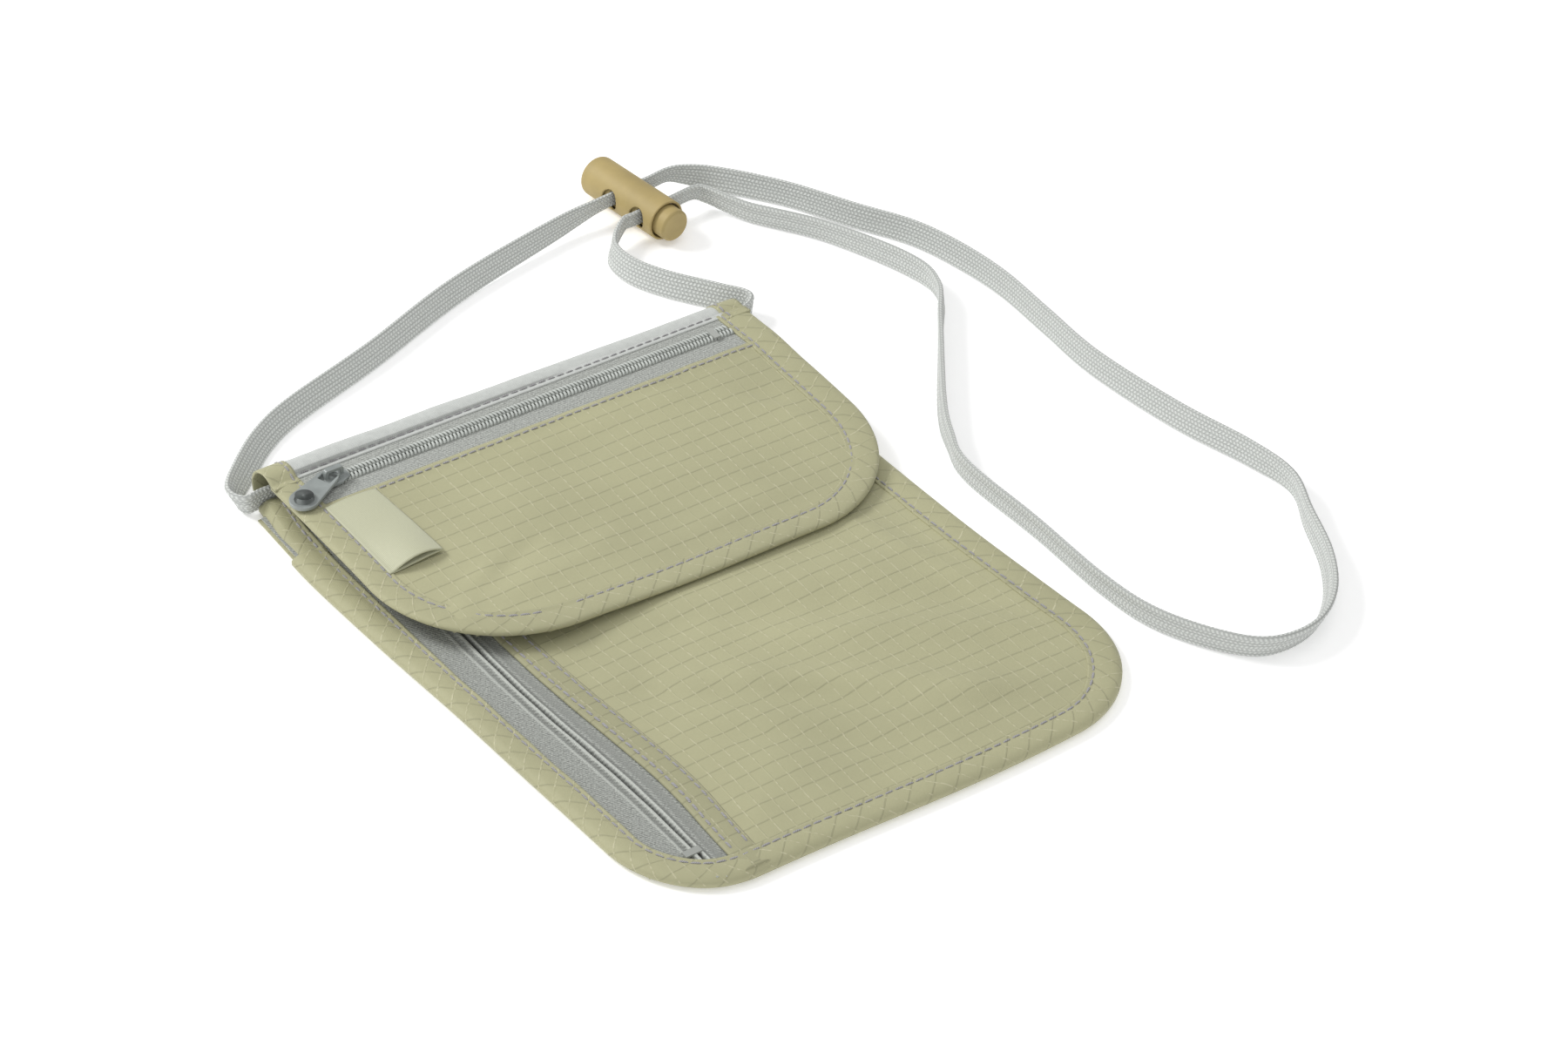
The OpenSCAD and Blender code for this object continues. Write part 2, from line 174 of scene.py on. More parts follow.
class Look:
    """A node material that is written as short formulas."""

    def __init__(self, name, roughness=0.6, **sockets):
        self.material = bpy.data.materials.new(name)
        self.material.use_nodes = True
        self.tree = self.material.node_tree
        self.shader = self.tree.nodes["Principled BSDF"]
        self.shader.inputs["Roughness"].default_value = roughness
        for key, value in sockets.items():
            self.shader.inputs[key.replace("_", " ")].default_value = value

    def node(self, kind, **settings):
        made = self.tree.nodes.new("ShaderNode" + kind)
        for key, value in settings.items():
            setattr(made, key, value)
        return made

    def put(self, socket, value):
        if isinstance(value, bpy.types.NodeSocket):
            self.tree.links.new(value, socket)
        elif value is not None:
            socket.default_value = value

    def math(self, operation, a, b=None, c=None):
        made = self.node("Math", operation=operation)
        for socket, value in zip(made.inputs, (a, b, c)):
            self.put(socket, value)
        return made.outputs[0]

    def times(self, a, b):
        return self.math("MULTIPLY", a, b)

    def plus(self, a, b):
        return self.math("ADD", a, b)

    def scaled(self, value, factor, start):
        return self.math("MULTIPLY_ADD", value, factor, start)

    def place(self):
        return self.node("TexCoord").outputs["Object"]

    def mix(self, factor, a, b):
        made = self.node("Mix", data_type="RGBA")
        self.put(made.inputs[0], factor)
        self.put(made.inputs[6], a)
        self.put(made.inputs[7], b)
        return made.outputs[2]

    def uv(self, turn=0.0):
        """Two sockets with the surface's own u and v in millimetres, turned by an angle in degrees."""
        coords = self.node("UVMap", uv_map="cloth")
        turned = self.node("VectorRotate", rotation_type="Z_AXIS")
        self.put(turned.inputs["Vector"], coords.outputs[0])
        turned.inputs["Angle"].default_value = math.radians(turn)
        split = self.node("SeparateXYZ")
        self.put(split.inputs[0], turned.outputs[0])
        return split.outputs[0], split.outputs[1], turned.outputs[0]

    def noise(self, vector, scale, detail=2.0):
        made = self.node("TexNoise")
        self.put(made.inputs["Vector"], vector)
        made.inputs["Scale"].default_value = scale
        made.inputs["Detail"].default_value = detail
        return made.outputs[0]

    def band(self, value, period, width, soft):
        """1 on thin lines across value, one line each period."""
        phase = self.math("FRACT", self.math("DIVIDE", value, period))
        away = self.math("MULTIPLY", self.math("ABSOLUTE", self.math("SUBTRACT", phase, 0.5)), period)
        near = self.node("MapRange", interpolation_type="SMOOTHSTEP")
        self.put(near.inputs["Value"], away)
        for key, number in (("From Min", width / 2 + soft), ("From Max", width / 2),
                            ("To Min", 0.0), ("To Max", 1.0)):
            near.inputs[key].default_value = number
        return near.outputs[0]

    def wave(self, value, period, offset=0.0):
        """A sine from 0 to 1."""
        angle = self.math("MULTIPLY_ADD", value, 2 * math.pi / period, offset)
        return self.math("MULTIPLY_ADD", self.math("SINE", angle), 0.5, 0.5)

    def above(self, value, low, high):
        made = self.node("MapRange")
        self.put(made.inputs["Value"], value)
        for key, number in (("From Min", low), ("From Max", high)):
            made.inputs[key].default_value = number
        return made.outputs[0]

    def bump(self, height, depth_mm):
        made = self.node("Bump")
        made.inputs["Strength"].default_value = 1.0
        made.inputs["Distance"].default_value = depth_mm * MM
        self.put(made.inputs["Height"], height)
        self.put(self.shader.inputs["Normal"], made.outputs[0])

    def colour(self, value):
        self.put(self.shader.inputs["Base Color"], value)
        return self.material


def ripstop(name, colour, turn=0.0, grid=(4.2, 5.2)):
    """Fine plain weave with a raised grid of thicker threads, and painted highlight glints on some of them.
    """
    look = Look(name, 0.62, Sheen_Weight=0.12, Sheen_Roughness=0.4, Specular_IOR_Level=0.35)
    u, v, vector = look.uv(turn)
    yarn = 0.36
    weave = look.times(look.wave(u, yarn), look.wave(v, yarn, math.pi / 2))
    across = look.band(look.scaled(look.noise(vector, 0.25, 2.0), 0.5, v), grid[1], 0.2, 0.22)
    along = look.band(look.scaled(look.noise(vector, 0.3, 2.0), 0.4, u), grid[0], 0.14, 0.2)
    cell = look.node("TexWhiteNoise", noise_dimensions="2D")
    snapped = look.node("VectorMath", operation="SNAP")
    look.put(snapped.inputs[0], vector)
    snapped.inputs[1].default_value = (0.5, 0.75, 1.0)
    look.put(cell.inputs["Vector"], snapped.outputs[0])
    # painted highlight: bright glints at random along the lengthwise grid lines and where the lines cross
    painted_glint = look.times(look.above(cell.outputs[0], 0.55, 0.8), along)
    crossing = look.times(along, across)
    cloudy = look.noise(vector, 0.02, 3.0)
    mottled = look.noise(vector, 1.3, 2.0)
    base = look.mix(look.above(cloudy, 0.3, 0.7), shade(colour, 0.965),
                    shade(colour, 1.03))
    base = look.mix(look.times(mottled, 0.2), base, shade(colour, 0.84))
    base = look.mix(look.times(across, 0.36), base, shade(colour, 0.74))
    base = look.mix(look.times(along, 0.2), base, shade(colour, 1.05))
    base = look.mix(look.math("MAXIMUM", look.times(painted_glint, 0.3),
                              look.times(crossing, 0.3)), base, linear((224, 219, 190)))
    height = look.plus(look.times(weave, 0.35),
                       look.times(look.math("MAXIMUM", across, along), 0.8))
    look.bump(look.plus(height, look.times(mottled, 0.7)), 0.07)
    return look.colour(base)


def twill(name, colour, pitch=0.75, shade_stripes=()):
    """Woven zip tape: short slanting floats over a fine ground."""
    look = Look(name, 0.75, Sheen_Weight=0.2, Specular_IOR_Level=0.3)
    u, v, vector = look.uv()
    slant = look.plus(u, look.times(v, 0.55))
    ribs = look.wave(slant, pitch)
    picks = look.wave(v, pitch * 0.8)
    floats = look.times(ribs, look.scaled(picks, 0.6, 0.4))
    fuzz = look.noise(vector, 1.7, 3.0)
    mixed = look.scaled(look.above(fuzz, 0.3, 0.7), 0.5, look.times(floats, 0.5))
    base = look.mix(mixed, shade(colour, 0.66), shade(colour, 1.16))
    # painted light and shade: lighter and darker bands along the tape where its ridges would catch light and
    # its hollows fall in shade
    for place, wide, share in shade_stripes:
        shade_stripe = look.band(look.plus(u, 200.0 - place), 400.0, wide, 0.35)
        base = look.mix(look.times(shade_stripe, 0.7), base, shade(colour, share))
    look.bump(mixed, 0.22)
    return look.colour(base)


def brushed_cloth(name, colour):
    """The soft knit of the fold strip: matt, slightly mottled, with a fine nap."""
    look = Look(name, 0.85, Sheen_Weight=0.35, Sheen_Roughness=0.5, Specular_IOR_Level=0.2)
    u, v, vector = look.uv()
    nap = look.noise(vector, 3.4, 4.0)
    blotch = look.noise(vector, 0.5, 2.0)
    knit = look.times(look.wave(u, 0.55), look.wave(v, 0.45))
    mixed = look.plus(look.times(nap, 0.55),
                      look.plus(look.times(blotch, 0.3), look.times(knit, 0.15)))
    base = look.mix(look.above(mixed, 0.3, 0.7), shade(colour, 0.9),
                    shade(colour, 1.05))
    look.bump(mixed, 0.1)
    return look.colour(base)


def ribbon(name, colour):
    """The label's close satin ribbon."""
    look = Look(name, 0.5, Sheen_Weight=0.25, Specular_IOR_Level=0.45)
    u, v, vector = look.uv()
    weft = look.wave(v, 0.32)
    warp = look.wave(u, 0.42)
    mixed = look.plus(look.times(weft, 0.6),
                      look.plus(look.times(warp, 0.2),
                                look.times(look.noise(vector, 1.6, 3.0), 0.35)))
    base = look.mix(mixed, shade(colour, 0.9), shade(colour, 1.05))
    look.bump(mixed, 0.05)
    return look.colour(base)


def thread(name, colour):
    """Two-ply sewing thread: bright and dark stripes wind round each stitch."""
    look = Look(name, 0.55, Sheen_Weight=0.3)
    u, v, vector = look.uv()
    ply = look.wave(look.plus(look.times(u, 1.0), look.times(v, 0.7)), 0.5)
    hair = look.noise(vector, 3.0, 2.0)
    base = look.mix(look.scaled(hair, 0.4, look.times(ply, 0.6)),
                    shade(colour, 0.72), shade(colour, 1.12))
    look.bump(ply, 0.08)
    return look.colour(base)


def braid(name, colour):
    """Flat braid: each lengthwise rib is a chain of small slanting stitches, alternately left and right."""
    look = Look(name, 0.6, Sheen_Weight=0.35, Sheen_Roughness=0.4, Specular_IOR_Level=0.4)
    u, v, vector = look.uv()
    fine_rib = look.times(v, 1.4)
    rib = look.math("FLOOR", fine_rib)
    side = look.scaled(look.math("MODULO", rib, 2.0), 2.0, -1.0)
    inside = look.math("FRACT", fine_rib)
    slant = look.times(side, look.times(inside, 0.4))
    stitch = look.wave(look.plus(u, slant), 1.15)
    # painted shade: the colour darkens in the grooves between the ribs, which also sink in the bump
    groove_shade = look.math("SUBTRACT", 1.0, look.band(look.plus(fine_rib, 0.5), 1.0, 0.04, 0.25))
    fine = look.noise(vector, 4.5, 2.0)
    mixed = look.times(look.scaled(fine, 0.25, look.times(stitch, 0.75)), groove_shade)
    base = look.mix(mixed, shade(colour, 0.84), shade(colour, 1.09))
    look.bump(mixed, 0.22)
    return look.colour(base)


def nylon(name, colour, rough=0.42):
    """Moulded or drawn nylon with very fine flow marks."""
    look = Look(name, rough, Specular_IOR_Level=0.5)
    place = look.place()
    fine = look.noise(place, 900.0, 3.0)
    broad = look.noise(place, 120.0, 2.0)
    base = look.mix(look.above(broad, 0.35, 0.65), shade(colour, 0.96),
                    shade(colour, 1.03))
    base = look.mix(look.times(fine, 0.12), base, shade(colour, 0.8))
    look.bump(fine, 0.03)
    return look.colour(base)


def painted(name, colour):
    """Satin paint over die-cast zinc with soft patches; the dark in the pulls' hollows is painted shade,
    laid on as separate pieces.
    """
    look = Look(name, 0.38, Specular_IOR_Level=0.55, Coat_Weight=0.15, Coat_Roughness=0.3)
    place = look.place()
    orange_peel = look.noise(place, 1500.0, 2.0)
    patch = look.noise(place, 260.0, 3.0)
    base = look.mix(look.above(patch, 0.35, 0.7), shade(colour, 0.93),
                    shade(colour, 1.05))
    look.bump(orange_peel, 0.015)
    return look.colour(base)


def steel(name, colour):
    look = Look(name, 0.28, Metallic=1.0)
    place = look.place()
    drawn = look.noise(place, 2500.0, 2.0)
    base = look.mix(drawn, shade(colour, 0.85), linear(colour))
    look.bump(drawn, 0.01)
    return look.colour(base)


KHAKI = (176, 174, 139)
# painted light and shade on the side zip's tape, as bands along it: bright on the ridge tops, dark in the
# valleys and the slot, and a darker band beyond the coil as painted shadow; for each, place across the
# pouch, width and shade
RIDGE_SHADING = [(SIDE_COIL[0] + place, wide, share) for place, wide, share in (
    (-3.0, 0.3, 1.12), (-2.15, 0.25, 0.72), (-1.15, 0.4, 1.22), (0.0, 0.3, 0.55), (0.75, 0.25, 1.22),
    (1.45, 0.3, 0.66), (3.4, 1.5, 0.84))]
LOOKS = {
    "ripstop": ripstop("ripstop", KHAKI),
    "binding": ripstop("binding", np.array(KHAKI) * 0.985, turn=45.0),
    "facing": ripstop("facing", np.array(KHAKI) * 0.93),
    "lining": ripstop("lining", np.array(KHAKI) * 0.9),
    "zip_tape": twill("zip_tape", (178, 181, 175)),
    # the side tape carries the painted light and shade of its ridges and valleys
    "side_tape": twill("side_tape", (167, 170, 164), shade_stripes=RIDGE_SHADING),
    "zip_coil": nylon("zip_coil", (188, 192, 187), 0.45),
    "zip_metal": painted("zip_metal", (142, 148, 146)),
    # painted shade: a dark colour for the discs in the zip pulls' hollows
    "dish_shade": painted("dish_shade", (88, 94, 92)),
    "thread": thread("thread", (168, 166, 168)),
    "fold_strip": brushed_cloth("fold_strip", (198, 201, 197)),
    "label": ribbon("label", (186, 187, 158)),
    "cord": braid("cord", (204, 207, 203)),
    "lock_plastic": nylon("lock_plastic", (171, 152, 100), 0.6),
    "spring_steel": steel("spring_steel", (190, 192, 194)),
}


# ---- meshes

SETTLERS = {"pouch": settle_body, "flap": settle_flap}
PULL_TILT = math.radians(3.0)
PULL_DISH = (12.6, 2.42)


def add_piece(name, points, faces, body, slot, uvs=None, replaces=(), settle=True):
    """A mesh piece from points in millimetres; uvs holds one (u, v) for each face corner."""
    points = np.array(points, float)
    if settle and body in SETTLERS:
        points = SETTLERS[body](points)
    mesh = bpy.data.meshes.new(name)
    mesh.from_pydata((points * MM).tolist(), [], [list(f) for f in faces])
    if uvs is not None:
        layer = mesh.uv_layers.new(name="cloth")
        layer.data.foreach_set("uv", np.asarray(uvs, np.float32).ravel())
    mesh.polygons.foreach_set("use_smooth", [True] * len(mesh.polygons))
    mesh.materials.append(LOOKS[slot])
    mesh.update()
    made = new_object(name, mesh)
    if body:
        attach(made, body)
    if replaces:
        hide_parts(*replaces)
    return made


def grid_faces(rows, columns, closed, start=0):
    """Quads over a rows by columns grid of points; closed joins the last column to the first."""
    last = columns if closed else columns - 1
    i, j = np.meshgrid(np.arange(rows - 1), np.arange(last), indexing="ij")
    k = (j + 1) % columns
    quads = np.stack([i * columns + j, i * columns + k, (i + 1) * columns + k, (i + 1) * columns + j], -1)
    return quads.reshape(-1, 4) + start


def grid_uvs(us, vs):
    """Corner coordinates that match closed grid_faces; vs has one more value than there are columns."""
    last = len(vs) - 1
    i, j = np.meshgrid(np.arange(len(us) - 1), np.arange(last), indexing="ij")
    i, j = i.ravel(), j.ravel()
    corners = [(us[i], vs[j]), (us[i], vs[j + 1]), (us[i + 1], vs[j + 1]), (us[i + 1], vs[j])]
    return np.stack([np.stack(c, -1) for c in corners], 1).reshape(-1, 2)


def along(points):
    """Distance along a polyline at each of its points."""
    steps = np.linalg.norm(np.diff(points, axis=0), axis=1)
    return np.concatenate([[0.0], np.cumsum(steps)])


def tube(name, rings, body, slot, us=None, vs=None, replaces=(), caps=True, settle=True):
    """A closed-section sweep: rings is rows by columns by 3."""
    rings = np.asarray(rings, float)
    rows, columns = rings.shape[:2]
    faces = [list(f) for f in grid_faces(rows, columns, True)]
    if us is None:
        us = along(rings.mean(1))
    if vs is None:
        loop = np.concatenate([rings[rows // 2], rings[rows // 2][:1]])
        vs = along(loop)
    uvs = grid_uvs(np.asarray(us), np.asarray(vs))
    if caps:
        ends = [list(range(columns))[::-1], [(rows - 1) * columns + j for j in range(columns)]]
        faces += ends
        uvs = np.concatenate([uvs, rings[0][::-1][:, :2], rings[-1][:, :2]])
    return add_piece(name, rings.reshape(-1, 3), faces, body, slot, uvs, replaces, settle)


def cloth(name, xs, ys, top, thick, body, slot, keep=None, replaces=(), under=None):
    """A thin closed sheet over a grid; top(x, y) is its upper surface and keep(x, y) drops cells."""
    gx, gy = np.meshgrid(xs, ys, indexing="ij")
    gz = top(gx, gy)
    low = under(gx, gy) if under else gz - thick
    rows, columns = gx.shape
    upper = np.stack([gx, gy, gz], -1).reshape(-1, 3)
    lower = np.stack([gx, gy, low], -1).reshape(-1, 3)
    cell = np.ones((rows - 1, columns - 1), bool)
    if keep:
        cell = keep((gx[:-1, :-1] + gx[1:, 1:]) / 2, (gy[:-1, :-1] + gy[1:, 1:]) / 2)
    quads = grid_faces(rows, columns, False)[cell.ravel()][:, ::-1]
    count = rows * columns
    faces = np.concatenate([quads, quads[:, ::-1] + count])
    edges = np.concatenate([quads[:, [k, (k + 1) % 4]] for k in range(4)])
    seen = {}
    for a, b in edges.tolist():
        seen[(a, b)] = (b, a) not in seen and not seen.pop((b, a), False)
    rim = [e for e in seen if (e[1], e[0]) not in seen]
    sides = np.array([[b, a, a + count, b + count] for a, b in rim])
    faces = np.concatenate([faces, sides])
    points = np.concatenate([upper, lower])
    used = np.unique(faces)
    index = np.zeros(len(points), int)
    index[used] = np.arange(len(used))
    uvs = points[faces.ravel()][:, :2]
    return add_piece(name, points[used], index[faces], body, slot, uvs, replaces)


# ---- outlines

def outline(left, right, low, top, r_left, r_right, step=1.0):
    """Points and outward directions down the left side, along the bottom and up the right side."""
    points, outward = [], []

    def line(a, b, n):
        count = max(2, int(math.dist(a, b) / step))
        for k in range(count):
            t = k / count
            points.append((a[0] + (b[0] - a[0]) * t, a[1] + (b[1] - a[1]) * t))
            outward.append(n)

    def arc(cx, cy, r, a1, a2):
        count = max(6, int(r * math.radians(abs(a2 - a1)) / step))
        for k in range(count):
            a = math.radians(a1 + (a2 - a1) * k / count)
            points.append((cx + r * math.cos(a), cy + r * math.sin(a)))
            outward.append((math.cos(a), math.sin(a)))

    line((left, top), (left, low + r_left), (-1, 0))
    arc(left + r_left, low + r_left, r_left, 180, 270)
    line((left + r_left, low), (right - r_right, low), (0, -1))
    arc(right - r_right, low + r_right, r_right, 270, 360)
    line((right, low + r_right), (right, top), (1, 0))
    points.append((right, top))
    outward.append((1, 0))
    return np.array(points), np.array(outward)


def inside_outline(left, right, low, top, r_left, r_right, inset):
    """A test for cells inside the rounded outline."""
    def test(x, y):
        l, r, b = left + inset, right - inset, low + inset
        ok = (x > l) & (x < r) & (y > b) & (y < top)
        for cx, cy, rad, side in ((left + r_left, low + r_left, r_left - inset, -1),
                                  (right - r_right, low + r_right, r_right - inset, 1)):
            corner = ((x - cx) * side > 0) & (y < cy)
            ok &= ~(corner & (np.hypot(x - cx, y - cy) > rad))
        return ok
    return test


def body_outline(step=1.0, top=None):
    return outline(BODY_LOW[0], BODY_HIGH[0], BODY_LOW[1], BODY_HIGH[1] if top is None else top,
                   *BODY_CORNERS, step)


def flap_outline(top, step=1.0):
    return outline(FLAP_LOW[0], FLAP_HIGH[0], FLAP_LOW[1], top, FLAP_CORNER, FLAP_CORNER, step)


def ripple(s, seed, scale):
    """A smooth wandering value from -1 to 1 along a length, the same every time."""
    rng = np.random.default_rng(seed)
    total = np.zeros_like(np.asarray(s, float))
    for k in range(5):
        total = total + np.sin(s * 2 * math.pi / (scale * rng.uniform(0.6, 1.9)) + rng.uniform(0, 6.3))
    return total / 5


def crease(x, y, cx, cy, angle, length, width, height):
    """One soft fold: a ridge, or a valley where height is below 0, that fades at both ends."""
    a = math.radians(angle)
    u = (x - cx) * math.cos(a) + (y - cy) * math.sin(a)
    v = -(x - cx) * math.sin(a) + (y - cy) * math.cos(a)
    return height * np.exp(-(v / width) ** 2) * (1 - smooth(np.abs(u), length * 0.25, length * 0.55))


# ---- the shape of the cloth

BODY_CREASES = [
    (-18, -40, -37, 95, 5.5, -1.1), (8, -52, -35, 90, 6.0, 1.15), (-10, -66, -36, 70, 5.0, -0.9),
    (30, -28, -25, 90, 6.5, -0.85), (38, -46, -30, 80, 5.5, 0.8), (-35, -24, -44, 40, 3.5, 0.7),
    (20, -10, -14, 100, 7.0, 0.6), (40, -74, -22, 50, 5.0, 0.55), (-30, -8, -12, 50, 4.0, -0.5),
    (5, -84, -8, 60, 3.5, -0.5), (58, -20, -70, 60, 4.5, 0.5), (-40, -76, -60, 30, 3.0, 0.4),
]
FLAP_CREASES = [
    (-55, 22, 30, 34, 3.5, 0.8), (-44, 26, 22, 40, 3.0, -0.6), (-30, 20, 12, 50, 4.0, 0.5),
    (30, 66, -22, 60, 5.0, 0.75), (46, 58, -38, 52, 4.5, -0.7), (56, 44, -52, 44, 4.0, 0.6),
    (20, 74, -8, 50, 3.0, -0.4), (0, 40, -14, 90, 8.0, 0.5), (-20, 58, -4, 70, 6.0, -0.4),
    (62, 66, -62, 24, 3.0, 0.5), (10, 14, 6, 70, 4.5, 0.45),
]


def from_edges(x, y, left, right, low):
    """Distance to the nearest of a panel's three sewn edges."""
    return np.minimum(np.minimum(x - left, right - x), y - low)


def body_top(x, y):
    """Upper surface of the pouch's front: a soft crown with creases, pinned at its edges."""
    edge = from_edges(x, y, FACING_HIGH[0] - 2, BODY_HIGH[0] - BINDING, BODY_LOW[1] + BINDING)
    pin = smooth(edge, 0.0, 16.0)
    rise = 0.9 * smooth(edge, 0.0, 30.0) * (1 - 0.75 * smooth(y, 0, 30))
    folds = 1.3 * sum(crease(x, y, *c) for c in BODY_CREASES) * (1 - smooth(y, -6, 14))
    small = 0.12 * np.sin(x * 0.21 + 1.3 * np.sin(y * 0.13)) * np.sin(y * 0.17 + 0.7 * np.sin(x * 0.11))
    return 3.05 + rise + (folds + small) * pin


def flap_drop(x, y):
    """How far the flap hangs below its level slab: least at the left, where the zip pull is beneath."""
    fall = smooth(y, 74.0, 0.0)
    side = 1.9 + 2.3 * smooth(x, -58.0, 5.0)
    return fall * side + 0.9 * smooth(x, 20.0, 75.0) * smooth(y, 73.0, 58.0) * (1 - fall)


def flap_shift(x, y):
    return -flap_drop(x, y)


def flap_panel_top(x, y):
    edge = from_edges(x, y, FLAP_LOW[0] + BINDING, FLAP_HIGH[0] - BINDING, FLAP_LOW[1] + BINDING)
    pin = smooth(edge, -1.0, 12.0) * smooth(y, SEAM_Y, SEAM_Y - 10.0)
    folds = sum(crease(x, y, *c) for c in FLAP_CREASES)
    small = 0.1 * np.sin(x * 0.19 + 1.1 * np.sin(y * 0.15)) * np.sin(y * 0.2 + 0.8 * np.sin(x * 0.12))
    return 10.45 + flap_shift(x, y) + (folds + small + 0.35) * pin


# ---- sewn pieces

def binding_strip(name, points, outward, top, under, body, width=BINDING, replaces=(), seed=1):
    """A folded tape swept round an edge: a soft crown between the fold and the stitched lip."""
    s = along(points)
    widths = np.broadcast_to(width, s.shape)
    wander = 0.22 * ripple(s, seed, 26.0)
    pucker = 0.05 * np.sin(s * 2 * math.pi / 2.8)
    wrinkle = 0.12 * ripple(s, seed + 9, 6.5)
    rings = []
    for k, (p, n) in enumerate(zip(points, outward)):
        z1, z0 = top[k], under[k]
        thick = max(z1 - z0, 0.5)
        half = thick / 2
        skin = min(0.42, thick * 0.3)
        mid = (z1 + z0) / 2
        lip = widths[k] + wander[k]
        crown = 0.16 + wrinkle[k]
        upper = [(-lip, z1 - 0.34), (-lip + 0.12, z1 + 0.12), (-lip + 0.6, z1 + 0.16),
                 (-lip + 1.35, z1 - 0.16 + pucker[k]), (-lip + 2.1, z1 + 0.06), (-lip * 0.55, z1 + crown),
                 (-lip * 0.3, z1 + crown * 0.8), (-half * 0.9, z1 - 0.05), (-half * 0.4, z1 - half * 0.28)]
        edge = [(-0.02, mid + half * 0.35), (0.0, mid), (-0.02, mid - half * 0.35),
                (-half * 0.4, z0 + half * 0.28)]
        lower = [(-half * 0.9, z0 + 0.04), (-lip * 0.4, z0), (-lip + 1.4, z0 + 0.1), (-lip + 0.4, z0 + 0.02),
                 (-lip + 0.1, z0 + 0.3)]
        inner = [(-lip + 0.6, z0 + skin), (-half - 0.6, z0 + skin + 0.05), (-half * 0.7, mid),
                 (-half - 0.6, z1 - skin - 0.05), (-lip + 0.6, z1 - skin - 0.2)]
        section = upper + edge + lower + inner
        rings.append([(p[0] + n[0] * q, p[1] + n[1] * q, z) for q, z in section])
    return tube(name, rings, body, "binding", us=s, replaces=replaces)


def capsule(sides=6, steps=6):
    """A stitch of unit length along X, with its ends turned down into the cloth."""
    t = np.linspace(-0.5, 0.5, steps + 1)
    radius = 0.5 * np.sqrt(np.clip(1 - (2 * t) ** 4, 0.05, 1))
    a = np.arange(sides) * 2 * math.pi / sides
    ring = np.stack([np.cos(a), np.sin(a)], -1)
    points = np.array([[(t[i], radius[i] * r[0], radius[i] * r[1]) for r in ring] for i in range(steps + 1)])
    return points, t


def stitch_row(name, points, ups, body, pitch=3.0, length=2.75, width=0.62, sink=0.26, replaces=(), seed=3,
               gaps=()):
    """Real stitches one after another along a line that lies on the cloth."""
    points = np.asarray(points, float)
    s = along(points)
    ups = np.broadcast_to(np.asarray(ups, float), points.shape)
    template, t = capsule()
    rng = np.random.default_rng(seed)
    verts, faces, uvs = [], [], []
    rows, columns = template.shape[:2]
    quads = grid_faces(rows, columns, True)
    around = np.arange(columns + 1) * math.pi * width / columns
    centres = np.arange(pitch * 0.6, s[-1] - pitch * 0.4, pitch)
    for count, centre in enumerate(centres):
        if any(a < centre < b for a, b in gaps):
            continue
        reach = length * rng.uniform(0.92, 1.06)
        yaw = rng.uniform(-0.05, 0.05)
        at = centre + t * reach
        line = np.stack([np.interp(at, s, points[:, k]) for k in range(3)], -1)
        up = np.array([np.interp(centre, s, ups[:, k]) for k in range(3)])
        ahead = line[-1] - line[0]
        ahead = unit(ahead)
        side = np.cross(up, ahead)
        side = unit(side)
        lift = 0.1 - sink * (2 * t) ** 4
        body_line = line + up * lift[:, None] + side * (yaw * t * reach)[:, None]
        ring = (body_line[:, None] + side * (template[:, :, 1:2] * width)
                + up * (template[:, :, 2:3] * width * 0.72))
        faces.append(quads + len(verts) * rows * columns)
        verts.append(ring.reshape(-1, 3))
        uvs.append(grid_uvs(at, around))
    return add_piece(name, np.concatenate(verts), np.concatenate(faces), body, "thread", np.concatenate(uvs),
                     replaces)


def right_lip(outward):
    """How much wider the binding shows where the edge faces right."""
    return RIGHT_LIP * np.clip(outward[:, 0], 0, 1) ** 2


def on_edge(points, outward, inset, height):
    """A line drawn in from an outline, at a height for each point."""
    inner = points - outward * np.reshape(inset, (-1, 1))
    return np.column_stack([inner, height(inner[:, 0], inner[:, 1])])


# ---- pouch body

BODY_CELLS = inside_outline(BODY_LOW[0], BODY_HIGH[0], BODY_LOW[1], 88.0, *BODY_CORNERS, 1.6)


def steps(a, b, size):
    return np.linspace(a, b, max(2, int(round((b - a) / size)) + 1))


